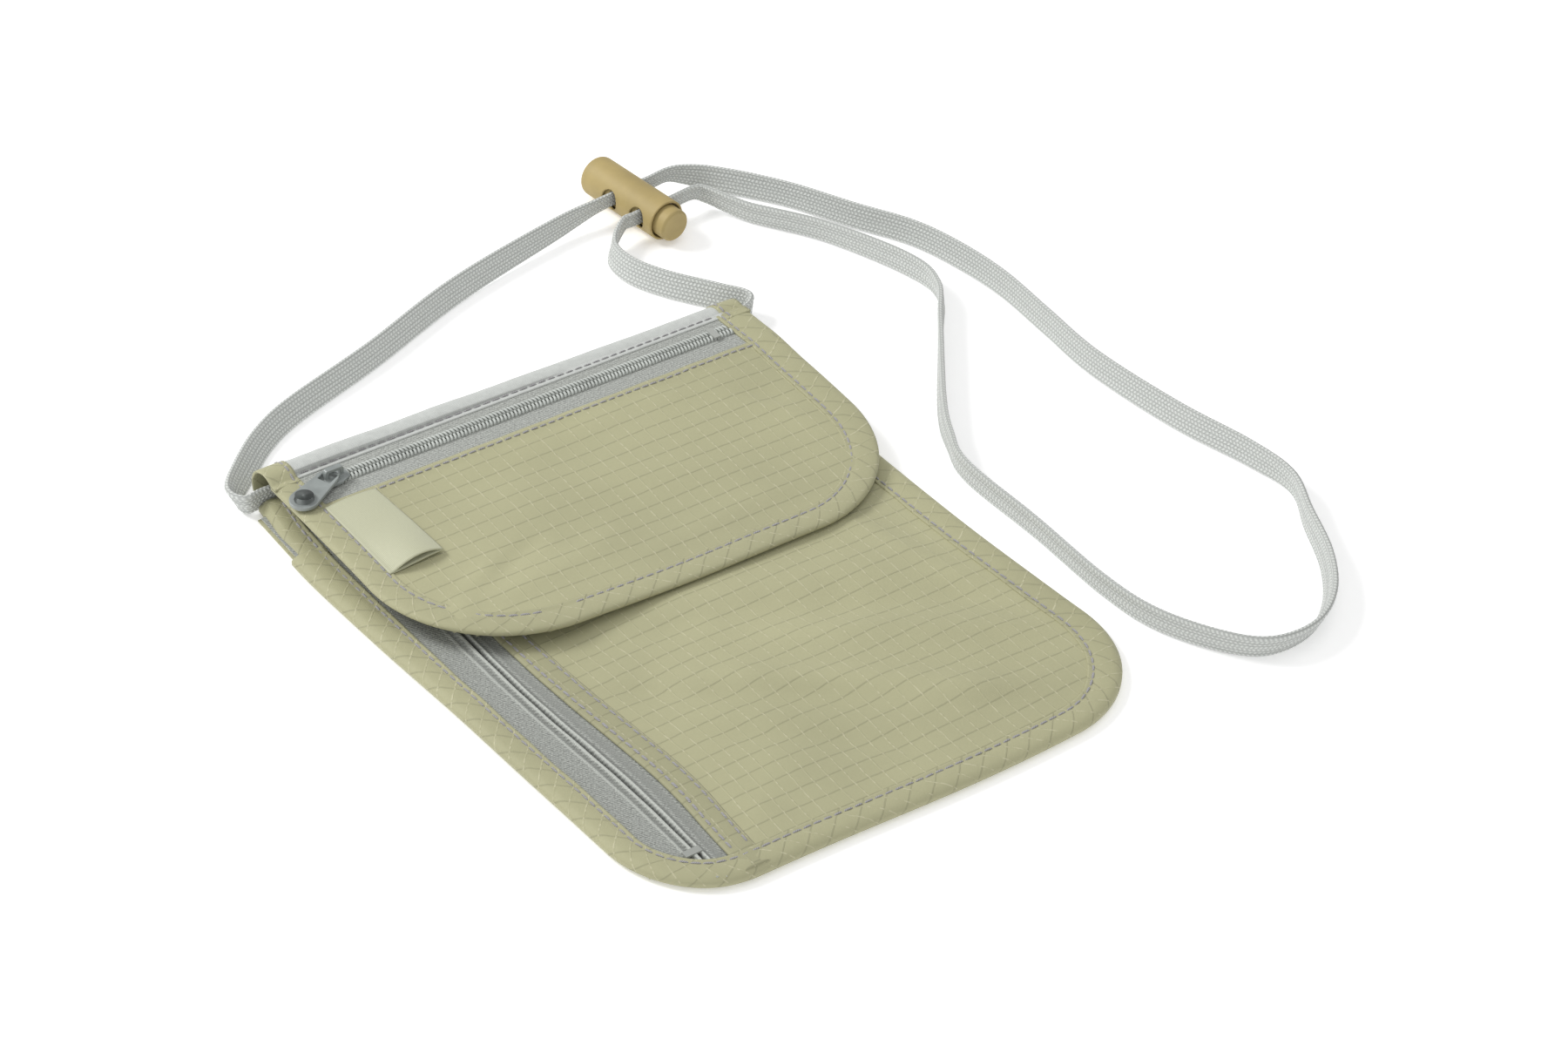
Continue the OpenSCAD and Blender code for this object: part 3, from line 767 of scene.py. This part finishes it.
def make_body():
    x0, x1 = BODY_LOW[0] + 1.5, BODY_HIGH[0] - 1.5
    y0, y1 = BODY_LOW[1] + 1.5, BODY_HIGH[1] - 1.5
    cloth("back_panel_cloth", steps(x0, x1, 2.0), steps(y0, HINGE_Y, 2.0),
          lambda x, y: 0.95 + 0.06 * np.sin(x * 0.2) * np.sin(y * 0.17), 0.35, "pouch", "ripstop",
          keep=lambda x, y: BODY_CELLS(x, y) & ((y < BODY_HIGH[1]) | (np.abs(x) < 74)),
          replaces=["back_panel"])
    front = cloth("front_panel_cloth", steps(FACING_HIGH[0] - 2.5, x1, 0.8), steps(y0, y1, 0.8), body_top,
                  0.4, "pouch", "ripstop", keep=BODY_CELLS, replaces=["front_panel"])
    facing_mid = (FACING_LOW[0] + FACING_HIGH[0]) / 2
    facing_wide = FACING_HIGH[0] - FACING_LOW[0]

    def facing_top(x, y):
        puff = np.cos(np.clip((x - facing_mid) / facing_wide, -0.5, 0.5) * math.pi) ** 0.35
        return 3.05 + 0.42 * puff + 0.08 * ripple(y, 31, 9.0)

    cloth("side_facing_cloth", steps(FACING_LOW[0], FACING_HIGH[0], 0.35), steps(y0, y1, 1.0), facing_top,
          0.5, "pouch", "facing", keep=BODY_CELLS, replaces=["side_facing"])
    for k, x in enumerate((FACING_LOW[0] + 1.4, FACING_LOW[0] + 6.1)):
        ys = steps(BODY_LOW[1] + 9, y1, 0.8)
        line = np.column_stack([np.full_like(ys, x) + 0.12 * ripple(ys, 40 + k, 22.0), ys,
                                facing_top(np.full_like(ys, x), ys)])
        stitch_row(f"side_facing_stitch_row_{k + 1}", line, (0, 0, 1), "pouch", seed=50 + k,
                   replaces=["side_facing_stitches"])
    make_side_zip(y0, y1)
    make_body_binding()


def make_side_zip(y0, y1):
    middle = SIDE_COIL[0]

    def tape_top(x, y):
        d = x - middle
        wide = 0.85 * np.exp(-((d + 1.15) / 0.78) ** 4)
        thin = 0.8 * np.exp(-((d - 0.75) / 0.42) ** 4)
        shelf = 0.3 * np.exp(-((d - 2.1) / 0.95) ** 4) + 0.18 * np.exp(-((d + 2.9) / 0.5) ** 2)
        slot = -0.45 * np.exp(-(d / 0.22) ** 2)
        return 2.42 + wide + thin + shelf + slot + 0.05 * np.sin(y * 0.4 + x)

    for side, name, node in ((-1, "side_zip_tape_left", "side_zip_tape_outer"),
                             (1, "side_zip_tape_right", "side_zip_tape_inner")):
        far = BODY_LOW[0] + 1.5 if side < 0 else FACING_LOW[0] + 1.2
        near = middle + side * 0.1
        xs = steps(min(far, near), max(far, near), 0.2)
        tape = cloth(name, xs, steps(y0, y1, 0.9), tape_top, 0.3, "pouch", "side_tape", keep=BODY_CELLS,
                     replaces=[node])
    for side, node in ((-1, "side_zip_coil_outer"), (1, "side_zip_coil_inner")):
        coil(node + "_wire", "y", SIDE_COIL_LOW[1], SIDE_COIL_HIGH[1], middle, SIDE_COIL[2] - 0.75, side,
             "pouch", [node], half_height=0.3)


def coil(name, axis, start, end, centre, z, side, body, replaces, half_height=0.36, shift=None):
    """One row of zip coil: a flattened spiral of monofilament whose heads reach to the middle line."""
    pitch, turn_steps, wire = 1.1, 14, 0.35
    turns = int((end - start) / pitch)
    t = np.arange(turns * turn_steps + 1) * 2 * math.pi / turn_steps
    run = start + t * pitch / (2 * math.pi) + (0 if side > 0 else pitch / 2)
    reach = 0.8
    across = centre + side * (reach + 0.3 + reach * np.cos(t))
    high = z + half_height * np.sin(t)
    line = np.column_stack([run, across, high] if axis == "x" else [across, run, high])
    if shift is not None:
        line[:, 2] += shift(line[:, 0], line[:, 1])
    ahead = np.gradient(line, axis=0)
    ahead = unit(ahead)
    flat = np.zeros(3)
    flat[0 if axis == "x" else 1] = 1.0
    one = np.cross(ahead, flat)
    one = unit(one)
    two = np.cross(ahead, one)
    a = np.arange(7) * 2 * math.pi / 7
    rings = line[:, None] + wire * (one[:, None] * np.cos(a)[:, None] + two[:, None] * np.sin(a)[:, None])
    return tube(name, rings, body, "zip_coil", replaces=replaces)


def make_body_binding():
    points, outward = body_outline(1.0, STEP_Y)
    keep = points[:, 1] <= STEP_Y + 0.01
    points, outward = points[keep], outward[keep]
    rise = 1.2 * smooth(points[:, 1], 20, 70) * (points[:, 0] < 0)
    top = 3.3 + 0.25 * rise
    edge = 0.08 * ripple(along(points), 77, 40.0)
    points = points - outward * (edge[:, None] + 0.1)
    wider = right_lip(outward)
    binding_strip("body_binding_tape", points, outward, top, np.full(len(points), 0.02), "pouch",
                  replaces=["body_binding"], seed=11, width=BINDING + wider)
    line = on_edge(points, outward, STITCH_INSET + STITCH_SHARE * wider, lambda x, y: np.full_like(x, 3.2))
    stitch_row("body_binding_stitch_row", line, (0, 0, 1), "pouch", replaces=["body_binding_stitches"],
               seed=12)
    for side, name in ((-1, "upper_binding_left"), (1, "upper_binding_right")):
        ys = steps(STEP_Y - 3, 88.5, 1.0)
        x = side * (BODY_HIGH[0] - 1.9 - 1.2 * smooth(ys, 72, 90))
        run = np.column_stack([x, ys])
        out = np.column_stack([np.full_like(ys, side), np.zeros_like(ys)])
        lift = 0.9 * smooth(ys, 66, 88)
        binding_strip(name, run, out, 2.9 + lift, 0.02 + 0 * ys, "pouch", width=6.3, seed=14 + side)
        line = np.column_stack([x - side * 5.0, ys, 2.8 + lift])
        stitch_row(name + "_stitches", line, (0, 0, 1), "pouch", seed=16 + side)


# ---- fold

ROLL_Y = 88.6
FOLD_SHIFT = 1.8


def roll_size(x):
    """Height of the roll's middle and its radius: fuller at the left."""
    t = smooth(x, -75, 75)
    return 6.0 - 0.7 * t, 6.1 - 0.9 * t


def roll_profile(x, grow=0.0, front=None):
    """The fold strip's section at x, from its stitched edge over the roll and under the pouch."""
    middle, radius = roll_size(x)
    radius = radius + grow
    low = STRIP_Y if front is None else front
    points = [(low - 0.3, 10.56 + grow), (low + 0.15, 10.68 + grow), (low + 0.75, 10.6 + grow),
              (low + 1.3, 10.5 + grow), (low + 1.8, 10.66 + grow)]
    for a in np.radians(np.linspace(112, -72, 34)):
        points.append((ROLL_Y + radius * math.cos(a), middle + radius * math.sin(a)))
    points += [(88.0 - k * 1.6, 0.5 - grow) for k in range(5)]
    points = np.array(points)
    points[:, 1] = np.maximum(points[:, 1], 0.45 - grow)
    return points


def thicken(profile, thick):
    """A closed section from an open line, with its inner side a thickness away."""
    ahead = np.gradient(profile, axis=0)
    ahead = unit(ahead)
    inner = profile + np.column_stack([ahead[:, 1], -ahead[:, 0]]) * thick
    return np.concatenate([profile, inner[::-1]])


def fold_piece(name, xs, grow, thick, slot, seed, replaces=(), front=None):
    rings = []
    soft = ripple(xs, seed, 22.0)
    fine = ripple(xs, seed + 1, 7.0)
    for x, big, small in zip(xs, soft, fine):
        profile = roll_profile(x, grow, front)
        away = profile - [ROLL_Y, 6.0]
        lift = smooth(profile[:, 1], 4, 9) * (0.03 * big + 0.008 * small) * smooth(profile[:, 0], 85.6, 88)
        profile = profile + away * lift[:, None]
        section = thicken(profile, thick)
        rings.append([(x, y, z) for y, z in section])
    loop = along(thicken(roll_profile(0.0, grow, front), thick))
    made = tube(name, rings, None, slot, us=xs, vs=np.append(loop, loop[-1] + thick), replaces=replaces)
    shift_to_fold(made)
    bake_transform(made)
    return made


def shift_to_fold(piece):
    """Moves a piece of the fold in at the right, with the flap and the pouch it joins."""
    points = np.empty(len(piece.data.vertices) * 3, np.float32)
    piece.data.vertices.foreach_get("co", points)
    points = points.reshape(-1, 3)
    x = points[:, 0] / MM
    points[:, 0] = (x - FOLD_SHIFT * smooth(x, 10, 75)) * MM
    piece.data.vertices.foreach_set("co", points.ravel())
    piece.data.update()


def make_fold():
    """The soft roll over the fold, its bound ends, and the cord's tunnel inside it."""
    half = FLAP_HIGH[0]
    roll = fold_piece("fold_strip_roll", steps(-half + BINDING - 0.6, half - BINDING + 0.6, 1.2), 0.0, 0.45,
                      "fold_strip", 21, replaces=["flap_fold_strip", "fold_tunnel"])
    angles = np.radians(np.arange(0, 360, 12))
    ring = np.column_stack([np.cos(angles), np.sin(angles)])
    make_tunnel_lining(half - 9.0, ring)
    front = STRIP_Y - 1.6
    for side, name in ((-1, "left"), (1, "right")):
        a, b = sorted((side * (half - BINDING), side * half))
        fold_piece(f"fold_rim_{name}", steps(a, b, 0.75), 0.28, 0.75, "binding", 25 + side, front=front)
        x = side * (half - STITCH_INSET)
        profile = roll_profile(x, 0.32, front)[1:-6]
        line = np.column_stack([np.full(len(profile), x - (FOLD_SHIFT if side > 0 else 0.0)), profile])
        ahead = np.gradient(profile, axis=0)
        ups = np.column_stack([np.zeros(len(profile)), -ahead[:, 1], ahead[:, 0]])
        ups = -unit(ups)
        ups = -ups if ups[8, 2] < 0 else ups
        row = stitch_row(f"fold_rim_stitches_{name}", line, ups, None, seed=27 + side)
        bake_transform(row)


def make_tunnel_lining(half, ring):
    """The closed tube the cord runs in, from one mouth to the other."""
    xs = steps(-half, half, 3.0)
    outer = [[(x, HINGE_Y + 3.7 * c, HINGE_Z + 3.7 * d) for c, d in ring] for x in xs]
    inner = [[(x, HINGE_Y + 3.45 * c, HINGE_Z + 3.45 * d) for c, d in ring] for x in xs[::-1]]
    rings = np.array(outer + inner + [outer[0]])
    columns = len(ring)
    faces = grid_faces(len(rings), columns, True)
    us = np.concatenate([xs, xs[::-1], xs[:1]])
    vs = np.arange(columns + 1) * 3.7 * 2 * math.pi / columns
    add_piece("tunnel_lining", rings.reshape(-1, 3), faces, "pouch", "fold_strip", grid_uvs(us, vs),
              settle=False)


# ---- flap

FLAP_CELLS = inside_outline(FLAP_LOW[0], FLAP_HIGH[0], FLAP_LOW[1], 99.0, FLAP_CORNER, FLAP_CORNER, 1.6)


def make_flap():
    x0, x1 = FLAP_LOW[0] + 1.5, FLAP_HIGH[0] - 1.5
    y0 = FLAP_LOW[1] + 1.5

    def panel_top(x, y):
        hem = 0.28 * smooth(y, SEAM_Y - 4.0, SEAM_Y - 1.4)
        wavy = 0.12 * ripple(x, 61, 12.0) * smooth(y, SEAM_Y - 5, SEAM_Y)
        return flap_panel_top(x, y) + (hem + wavy)

    panel = cloth("flap_panel_cloth", steps(x0, x1, 0.8), steps(y0, SEAM_Y + 0.2, 0.8), panel_top, 0.5,
                  "flap", "ripstop", keep=FLAP_CELLS, replaces=["flap_panel"])
    cloth("flap_lining_cloth", steps(x0, x1, 2.0), steps(y0, 86.0, 2.0),
          lambda x, y: 8.95 + flap_shift(x, y), 0.3, "flap", "lining", keep=FLAP_CELLS,
          replaces=["flap_lining"])
    make_flap_zip(x0, x1)
    make_flap_binding()
    xs = steps(-66.5, 66.5, 0.8)
    seam = np.column_stack([xs, np.full_like(xs, SEAM_Y - 1.5) + 0.15 * ripple(xs, 62, 30.0),
                            panel_top(xs, np.full_like(xs, SEAM_Y - 1.5)) + 0.02])
    stitch_row("flap_seam_stitches", seam, (0, 0, 1), "flap", pitch=2.7, length=2.4,
               replaces=["flap_zip_stitches"], seed=63)


def make_flap_zip(x0, x1):
    middle = FLAP_COIL[1]

    def tape_top(x, y):
        groove = 0.06 * np.exp(-((y - middle) / 2.6) ** 4)
        return 10.38 - groove + 0.02 * np.sin(x * 0.33 + y) + flap_shift(x, y)

    for name, low, high, node in (
            ("flap_zip_tape_low", SEAM_Y - 2.5, middle - 0.3, "flap_zip_tape_lower"),
            ("flap_zip_tape_high", middle + 0.3, STRIP_Y + 1.5, "flap_zip_tape_upper")):
        cloth(name, steps(x0, x1, 0.9), steps(low, high, 0.4), tape_top, 0.22, "flap", "zip_tape",
              replaces=[node])
    xs = steps(-66.5, 66.5, 0.8)
    ys = np.full_like(xs, STRIP_Y + 1.25) + 0.12 * ripple(xs, 72, 30.0)
    stitch_row("fold_strip_stitches", np.column_stack([xs, ys, np.full_like(xs, 10.64)]), (0, 0, 1), "flap",
               pitch=2.9, length=2.6, width=0.45, seed=73)
    for side, node in ((-1, "flap_zip_coil_lower"), (1, "flap_zip_coil_upper")):
        coil(node + "_wire", "x", FLAP_COIL_LOW[0], FLAP_COIL_HIGH[0], middle, FLAP_COIL[2] + 0.1, side,
             "flap", [node], half_height=0.42, shift=flap_shift)


def make_flap_binding():
    points, outward = flap_outline(STRIP_Y + 0.8, 0.9)
    edge = 0.1 * ripple(along(points), 81, 34.0)
    points = points - outward * (edge[:, None] + 0.15)
    shift = flap_shift(*(points - outward * 4).T)
    top = 10.72 + shift
    wider = right_lip(outward)
    binding_strip("flap_binding_tape", points, outward, top, top - 2.15, "flap", replaces=["flap_binding"],
                  seed=82, width=BINDING + wider)
    inner = points - outward * (STITCH_INSET + STITCH_SHARE * wider)[:, None]
    line = np.column_stack([inner, 10.58 + shift])
    total = along(line)[-1]
    skipped = (total * 0.34, total * 0.375)
    stitch_row("flap_binding_stitch_row", line, (0, 0, 1), "flap", replaces=["flap_binding_stitches"],
               seed=83, gaps=[skipped])


def make_label():
    """A blank ribbon folded in half and caught in the seam, open at both ends."""
    left = FLAP_LOW[0] + BINDING - 0.9
    width = LABEL_HIGH[0] - left - 1.2
    rows = steps(LABEL_LOW[1] - 0.4, LABEL_HIGH[1] + 0.6, 0.7)
    skin = 0.24
    half = 26
    rings = []
    for y in rows:
        open_end = 0.45 + 1.3 * smooth(y, LABEL_LOW[1] + 18, LABEL_LOW[1])
        lean = 0.9 * smooth(y, LABEL_HIGH[1], LABEL_LOW[1])
        t = np.linspace(0, 1, half)
        slant = 0.6 * (1 - (y - LABEL_LOW[1]) / (LABEL_HIGH[1] - LABEL_LOW[1]))
        x = left + slant * t + width * t
        rise = open_end * np.sin(np.clip(t * 1.12 - 0.1, 0, 1) * math.pi) ** 0.8
        ground = flap_panel_top(x, np.full_like(x, y)) + 0.14 + lean * t
        top = np.column_stack([x, np.full_like(x, y), ground + 0.5 + rise])
        bottom = np.column_stack([x, np.full_like(x, y), ground + 0.05])
        nose = np.array([[x[-1] + 0.35, y, ground[-1] + 0.28]])
        outer = np.concatenate([top, nose, bottom[::-1]])
        inner = np.concatenate([bottom[:-1] + [0, 0, skin], (top[:-1] - [0, 0, skin])[::-1]])
        rings.append(np.concatenate([outer, inner]))
    label = tube("label_ribbon", rings, "flap", "label", us=rows - rows[0], replaces=["label_tab"],
                 caps=False)
    cap_open_ends(label, len(rows), len(rings[0]), half)


def cap_open_ends(piece, rows, columns, half):
    """Closes the thin rims of the ribbon at its two open ends, and leaves the hollow open."""
    mesh = bmesh.new()
    mesh.from_mesh(piece.data)
    mesh.verts.ensure_lookup_table()
    outer = 2 * half + 1
    inner = columns - outer
    for row in (0, rows - 1):
        start = row * columns
        out = [start + k for k in range(outer)]
        ins = [start + outer + k for k in range(inner)]
        top, bottom = out[:half], out[half + 1:][::-1]
        low_in, high_in = ins[:inner // 2], ins[inner // 2:][::-1]
        strips = [(top, high_in), (bottom, low_in)]
        for a, b in strips:
            for k in range(len(b) - 1):
                loop = [mesh.verts[i] for i in (a[k], a[k + 1], b[k + 1], b[k])]
                mesh.faces.new(loop if row == 0 else loop[::-1])
        tip = (top[-2], top[-1], out[half], bottom[-1], bottom[-2], low_in[-1], high_in[-1])
        mesh.faces.new([mesh.verts[i] for i in tip])
    bmesh.ops.recalc_face_normals(mesh, faces=mesh.faces)
    mesh.to_mesh(piece.data)
    mesh.free()


# ---- neck cord

# place of the braid's middle and its width: the CAD cord's route, up to 1.6 mm nearer at the left mouth
CORD_ROUTE = [
    (-60, 90, 4, 6), (-75, 90, 4, 6), (-79.9, 89.9, 4, 6.6), (-80.2, 95.6, 4, 7.2),
    (-71.5, 104.5, 3.9, 7.5), (-61, 113, 3.9, 7.5), (-48, 119.5, 3.9, 7.5), (-18, 129.5, 3.9, 7.5),
    (18, 143.5, 3.9, 7.5), (56, 152.8, 4.5, 6.6), (72.8, 154.7, 6, 4.6), (90, 156.5, 6, 4.6),
    (97.5, 157.3, 6, 4.8), (103, 156, 4.9, 6.2), (110, 150.5, 3.9, 7.5), (122, 134, 3.9, 7.5),
    (132, 114, 3.9, 7.5), (140.5, 98, 3.9, 7.5), (144.5, 82, 3.9, 7.5), (146, 64, 3.9, 7.5),
    (144.5, 43, 3.9, 7.5), (143, 20, 3.9, 7.5), (146, -10, 3.9, 7.5), (151, -34, 3.9, 7.5),
    (152, -50, 3.9, 7.5), (145, -64, 3.9, 7.5), (137, -80, 3.9, 7.5), (127, -92, 3.9, 7.5),
    (115, -98.5, 3.9, 7.5), (102, -98, 3.9, 7.5), (93, -90, 3.9, 7.5), (85, -74, 3.9, 7.5),
    (82.7, -56, 3.9, 7.5), (83.5, -28, 3.9, 7.5), (83.5, 0, 3.9, 7.5), (88, 13, 3.9, 7.5),
    (96, 27, 3.9, 7.5), (118, 56, 3.9, 7.5), (129, 71, 3.9, 7.5), (129.5, 86, 3.9, 7.5),
    (120, 112, 3.9, 7.5), (108, 131, 3.9, 7.5), (102, 143.5, 5, 6.2), (98.3, 145.6, 6, 4.8),
    (89, 144.6, 6, 4.6), (76.5, 143.3, 6, 4.6), (72, 142.6, 5.8, 4.8), (64, 135.5, 3.9, 7.2),
    (63, 126, 3.9, 7.5), (67.5, 115, 3.9, 7.5), (76, 102, 3.9, 7.5), (81, 94.2, 4, 6.8), (75, 90, 4, 6),
    (60, 90, 4, 6)]
CORD_THICK = 1.5
# how far the braid leans from upright at each route point, in degrees
CORD_LEAN = [0, 0, 14, 30, 42, 40, 34, 26, 24, 14, 0, 0, 0, 8, 14, 12, 14, 16, 18, 14, 12, 14, 18, 10, -4,
             4, 12, 20, 22, 16, 10, 8, 8, 8, 6, 0, -6, 4, 8, 0, 8, 12, 8, 4, 0, 0, 0, 14, 22, 24, 20, 8,
             0, 0]


def smooth_route(points, per_span):
    """A smooth curve through the route's points, by the CAD cord's formula."""
    p = np.asarray(points, float)
    made = []
    for i in range(len(p) - 1):
        a, b, c, d = p[max(i - 1, 0)], p[i], p[i + 1], p[min(i + 2, len(p) - 1)]
        for k in range(per_span):
            u = k / per_span
            made.append(0.5 * (2 * b + (c - a) * u + (2 * a - 5 * b + 4 * c - d) * u * u
                               + (3 * b - 3 * c + d - a) * u ** 3))
    made.append(p[-1])
    return np.array(made)


def make_cord():
    """A flat braid of five ribs, standing on its edge, swept along the route."""
    rows = np.column_stack([np.array(CORD_ROUTE, float), CORD_LEAN])
    dense = smooth_route(rows, 40)
    s = along(dense[:, :3])
    at = np.arange(0, s[-1], 0.8)
    line = np.column_stack([np.interp(at, s, dense[:, k]) for k in range(5)])
    centre, width, lean = line[:, :3], line[:, 3], np.radians(line[:, 4])
    centre[:, 2] -= width * 0.5 * (1 - np.cos(lean))
    ahead = np.gradient(centre, axis=0)
    ahead = unit(ahead)
    side = np.cross([0, 0, 1.0], ahead)
    side = unit(side)
    up = np.cross(ahead, side)
    tall = up * np.cos(lean)[:, None] + side * np.sin(lean)[:, None]
    flat = np.cross(tall, ahead)
    ribs, per_rib = 5, 4
    k = np.arange(ribs * per_rib)
    place = (k + 0.5) / (ribs * per_rib) * 2 - 1
    bulge = np.abs(np.sin((k + 0.5) / per_rib * math.pi)) ** 0.6
    face = np.column_stack([place * 0.96, 0.62 + 0.38 * bulge])
    back_face = face[::-1] * [1, -1]
    section = np.concatenate([face, [[1.0, 0.3], [1.0, -0.3]], back_face, [[-1.0, -0.3], [-1.0, 0.3]]])
    thick = np.minimum(CORD_THICK, CORD_THICK * width / 5.4) * 0.5
    rib_of = np.concatenate([k // per_rib, [4.5, 4.5], (k // per_rib)[::-1], [-0.5, -0.5]])
    braided = 1 + 0.05 * np.sin(at[:, None] * 2 * math.pi / 2.3 + rib_of[None] * math.pi)
    rings = (centre[:, None] + tall[:, None] * (section[:, 0] * width[:, None] * 0.5)[:, :, None]
             + flat[:, None] * (section[:, 1] * thick[:, None] * braided)[:, :, None])
    low = rings[:, :, 2].min(1)
    rings[:, :, 2] += np.clip(0.05 - low, 0, None)[:, None]
    centre = rings.mean(1)
    count = len(section)
    vs = np.concatenate([k / per_rib, [5.0, 5.4], 5.6 + k / per_rib, [10.6, 10.9, 11.0]])[:count + 1]
    cord = tube("neck_cord_braid", rings, "pouch", "cord", us=at, vs=vs, replaces=["neck_cord"],
                settle=False)


# ---- hard pieces

def rounded(node, name, body, slot, voxel, passes=3, reshape=None):
    """A cast or moulded piece with softened edges, made from the shape of its CAD node."""
    source = frame["nodes"][node]
    made = new_object(name, source.data.copy())
    if reshape is not None:
        made.data.transform(reshape)
    made.data.transform(Matrix.Scale(1000, 4))
    remesh = made.modifiers.new("remesh", "REMESH")
    remesh.mode = "VOXEL"
    remesh.voxel_size = voxel
    relax = made.modifiers.new("relax", "SMOOTH")
    relax.factor = 0.5
    relax.iterations = passes
    bpy.context.view_layer.update()
    graph = bpy.context.evaluated_depsgraph_get()
    mesh = bpy.data.meshes.new_from_object(made.evaluated_get(graph))
    made.modifiers.clear()
    made.data = mesh
    mesh.transform(Matrix.Scale(MM, 4))
    mesh.materials.clear()
    mesh.materials.append(LOOKS[slot])
    mesh.polygons.foreach_set("use_smooth", [True] * len(mesh.polygons))
    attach(made, body)
    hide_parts(node)
    return made


def joint_of(name):
    return next(j for j in frame["record"]["behaviour"]["joints"] if j["name"] == name)


def slimmer_button(share):
    """Narrows the push button about its own axis, so that a gap shows round it."""
    low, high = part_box("lock_button")
    middle = (Vector(low) + Vector(high)) / 2
    axis = Vector(joint_of("button_press")["axis"]).normalized()
    across = Vector((axis.y, -axis.x, 0))
    narrow = Matrix.Scale(share, 4, across) @ Matrix.Scale(share, 4, Vector((0, 0, 1)))
    return Matrix.Translation(middle) @ narrow @ Matrix.Translation(-middle)


def make_dish(name, joint, body):
    """A dark disc in the hollow at the round end of a zip pull: painted shade where the hollow falls dark.
    """
    swing = joint_of(joint)
    bar = Vector(swing["pos_m"]) / MM
    axis = Vector(swing["axis"]).normalized()
    ahead = Vector((-axis.y, axis.x, 0))
    tilt = Matrix.Rotation(PULL_TILT, 3, axis)
    reach, wide = PULL_DISH
    rings = []
    for share in np.linspace(0.02, 1.0, 9):
        ring = []
        for a in np.radians(np.arange(0, 360, 15)):
            flat = ahead * (reach + share * wide * math.cos(a)) + axis * (share * wide * math.sin(a))
            ring.append(tuple(bar + tilt @ (flat + Vector((0, 0, 0.42 * share ** 3 - 0.04)))))
        rings.append(ring)
    tube(name, np.array(rings), body, "dish_shade", settle=False)


def make_hard_pieces():
    rounded("flap_zip_slider", "flap_slider_body", "flap_slider", "zip_metal", 0.13)
    rounded("flap_zip_pull", "flap_pull_tab", "flap_pull", "zip_metal", 0.13, 5)
    rounded("side_zip_slider", "side_slider_body", "side_slider", "zip_metal", 0.13)
    rounded("side_zip_pull", "side_pull_tab", "side_pull", "zip_metal", 0.13, 5)
    make_dish("flap_pull_dish_shade", "flap_pull_swing", "flap_pull")
    make_dish("side_pull_dish_shade", "side_pull_swing", "side_pull")
    rounded("lock_barrel", "lock_barrel_shell", "cord_lock", "lock_plastic", 0.2, 4)
    rounded("lock_button", "lock_button_cap", "push_button", "lock_plastic", 0.2, 3, slimmer_button(0.91))
    for node, slot in (("lock_spring", "spring_steel"), ("cord_bar_tacks", "cord"),
                       ("side_zip_stops", "side_tape"), ("flap_zip_stops", "zip_tape")):
        shown = frame["nodes"][node]
        shown.data.materials.clear()
        shown.data.materials.append(LOOKS[slot])


# ---- floor and light

# name, place, power in watts and size of each lamp, in metres
LAMPS = [("key", (-0.75, 1.0, 1.05), 16.0, 0.55), ("fill", (-0.9, -1.3, 1.0), 5.5, 1.2),
         ("top", (0.5, 0.0, 1.6), 4.5, 1.4)]
LAMPS_AIM = Vector((0.03, 0.02, 0))
FLOOR_REACH = 6.0


def make_studio():
    mesh = bpy.data.meshes.new("floor")
    corners = [(x * FLOOR_REACH, y * FLOOR_REACH, 0) for x, y in ((-1, -1), (1, -1), (1, 1), (-1, 1))]
    mesh.from_pydata(corners, [], [(0, 1, 2, 3)])
    floor = new_object("floor", mesh)
    look = Look("floor", 0.9, Specular_IOR_Level=0.1, Emission_Color=(1.0, 1.0, 1.0, 1.0),
                Emission_Strength=0.24)
    mesh.materials.append(look.colour(linear((252, 252, 252))))
    floor.location.z = -0.0002
    world = bpy.data.worlds.new("studio")
    world.use_nodes = True
    world.node_tree.nodes["Background"].inputs["Color"].default_value = (1.0, 1.0, 1.0, 1.0)
    world.node_tree.nodes["Background"].inputs["Strength"].default_value = 0.52
    bpy.context.scene.world = world
    for name, place, power, size in LAMPS:
        data = bpy.data.lights.new(name, "AREA")
        data.energy = power
        data.size = size
        lamp = new_object(name, data)
        lamp.location = place
        lamp.rotation_euler = (LAMPS_AIM - lamp.location).to_track_quat("-Z", "Y").to_euler()
    bpy.context.scene.view_settings.view_transform = "Standard"


make_camera()
make_hard_pieces()
make_cord()
make_body()
make_fold()
make_flap()
make_label()
make_studio()

bpy.context.view_layer.update()
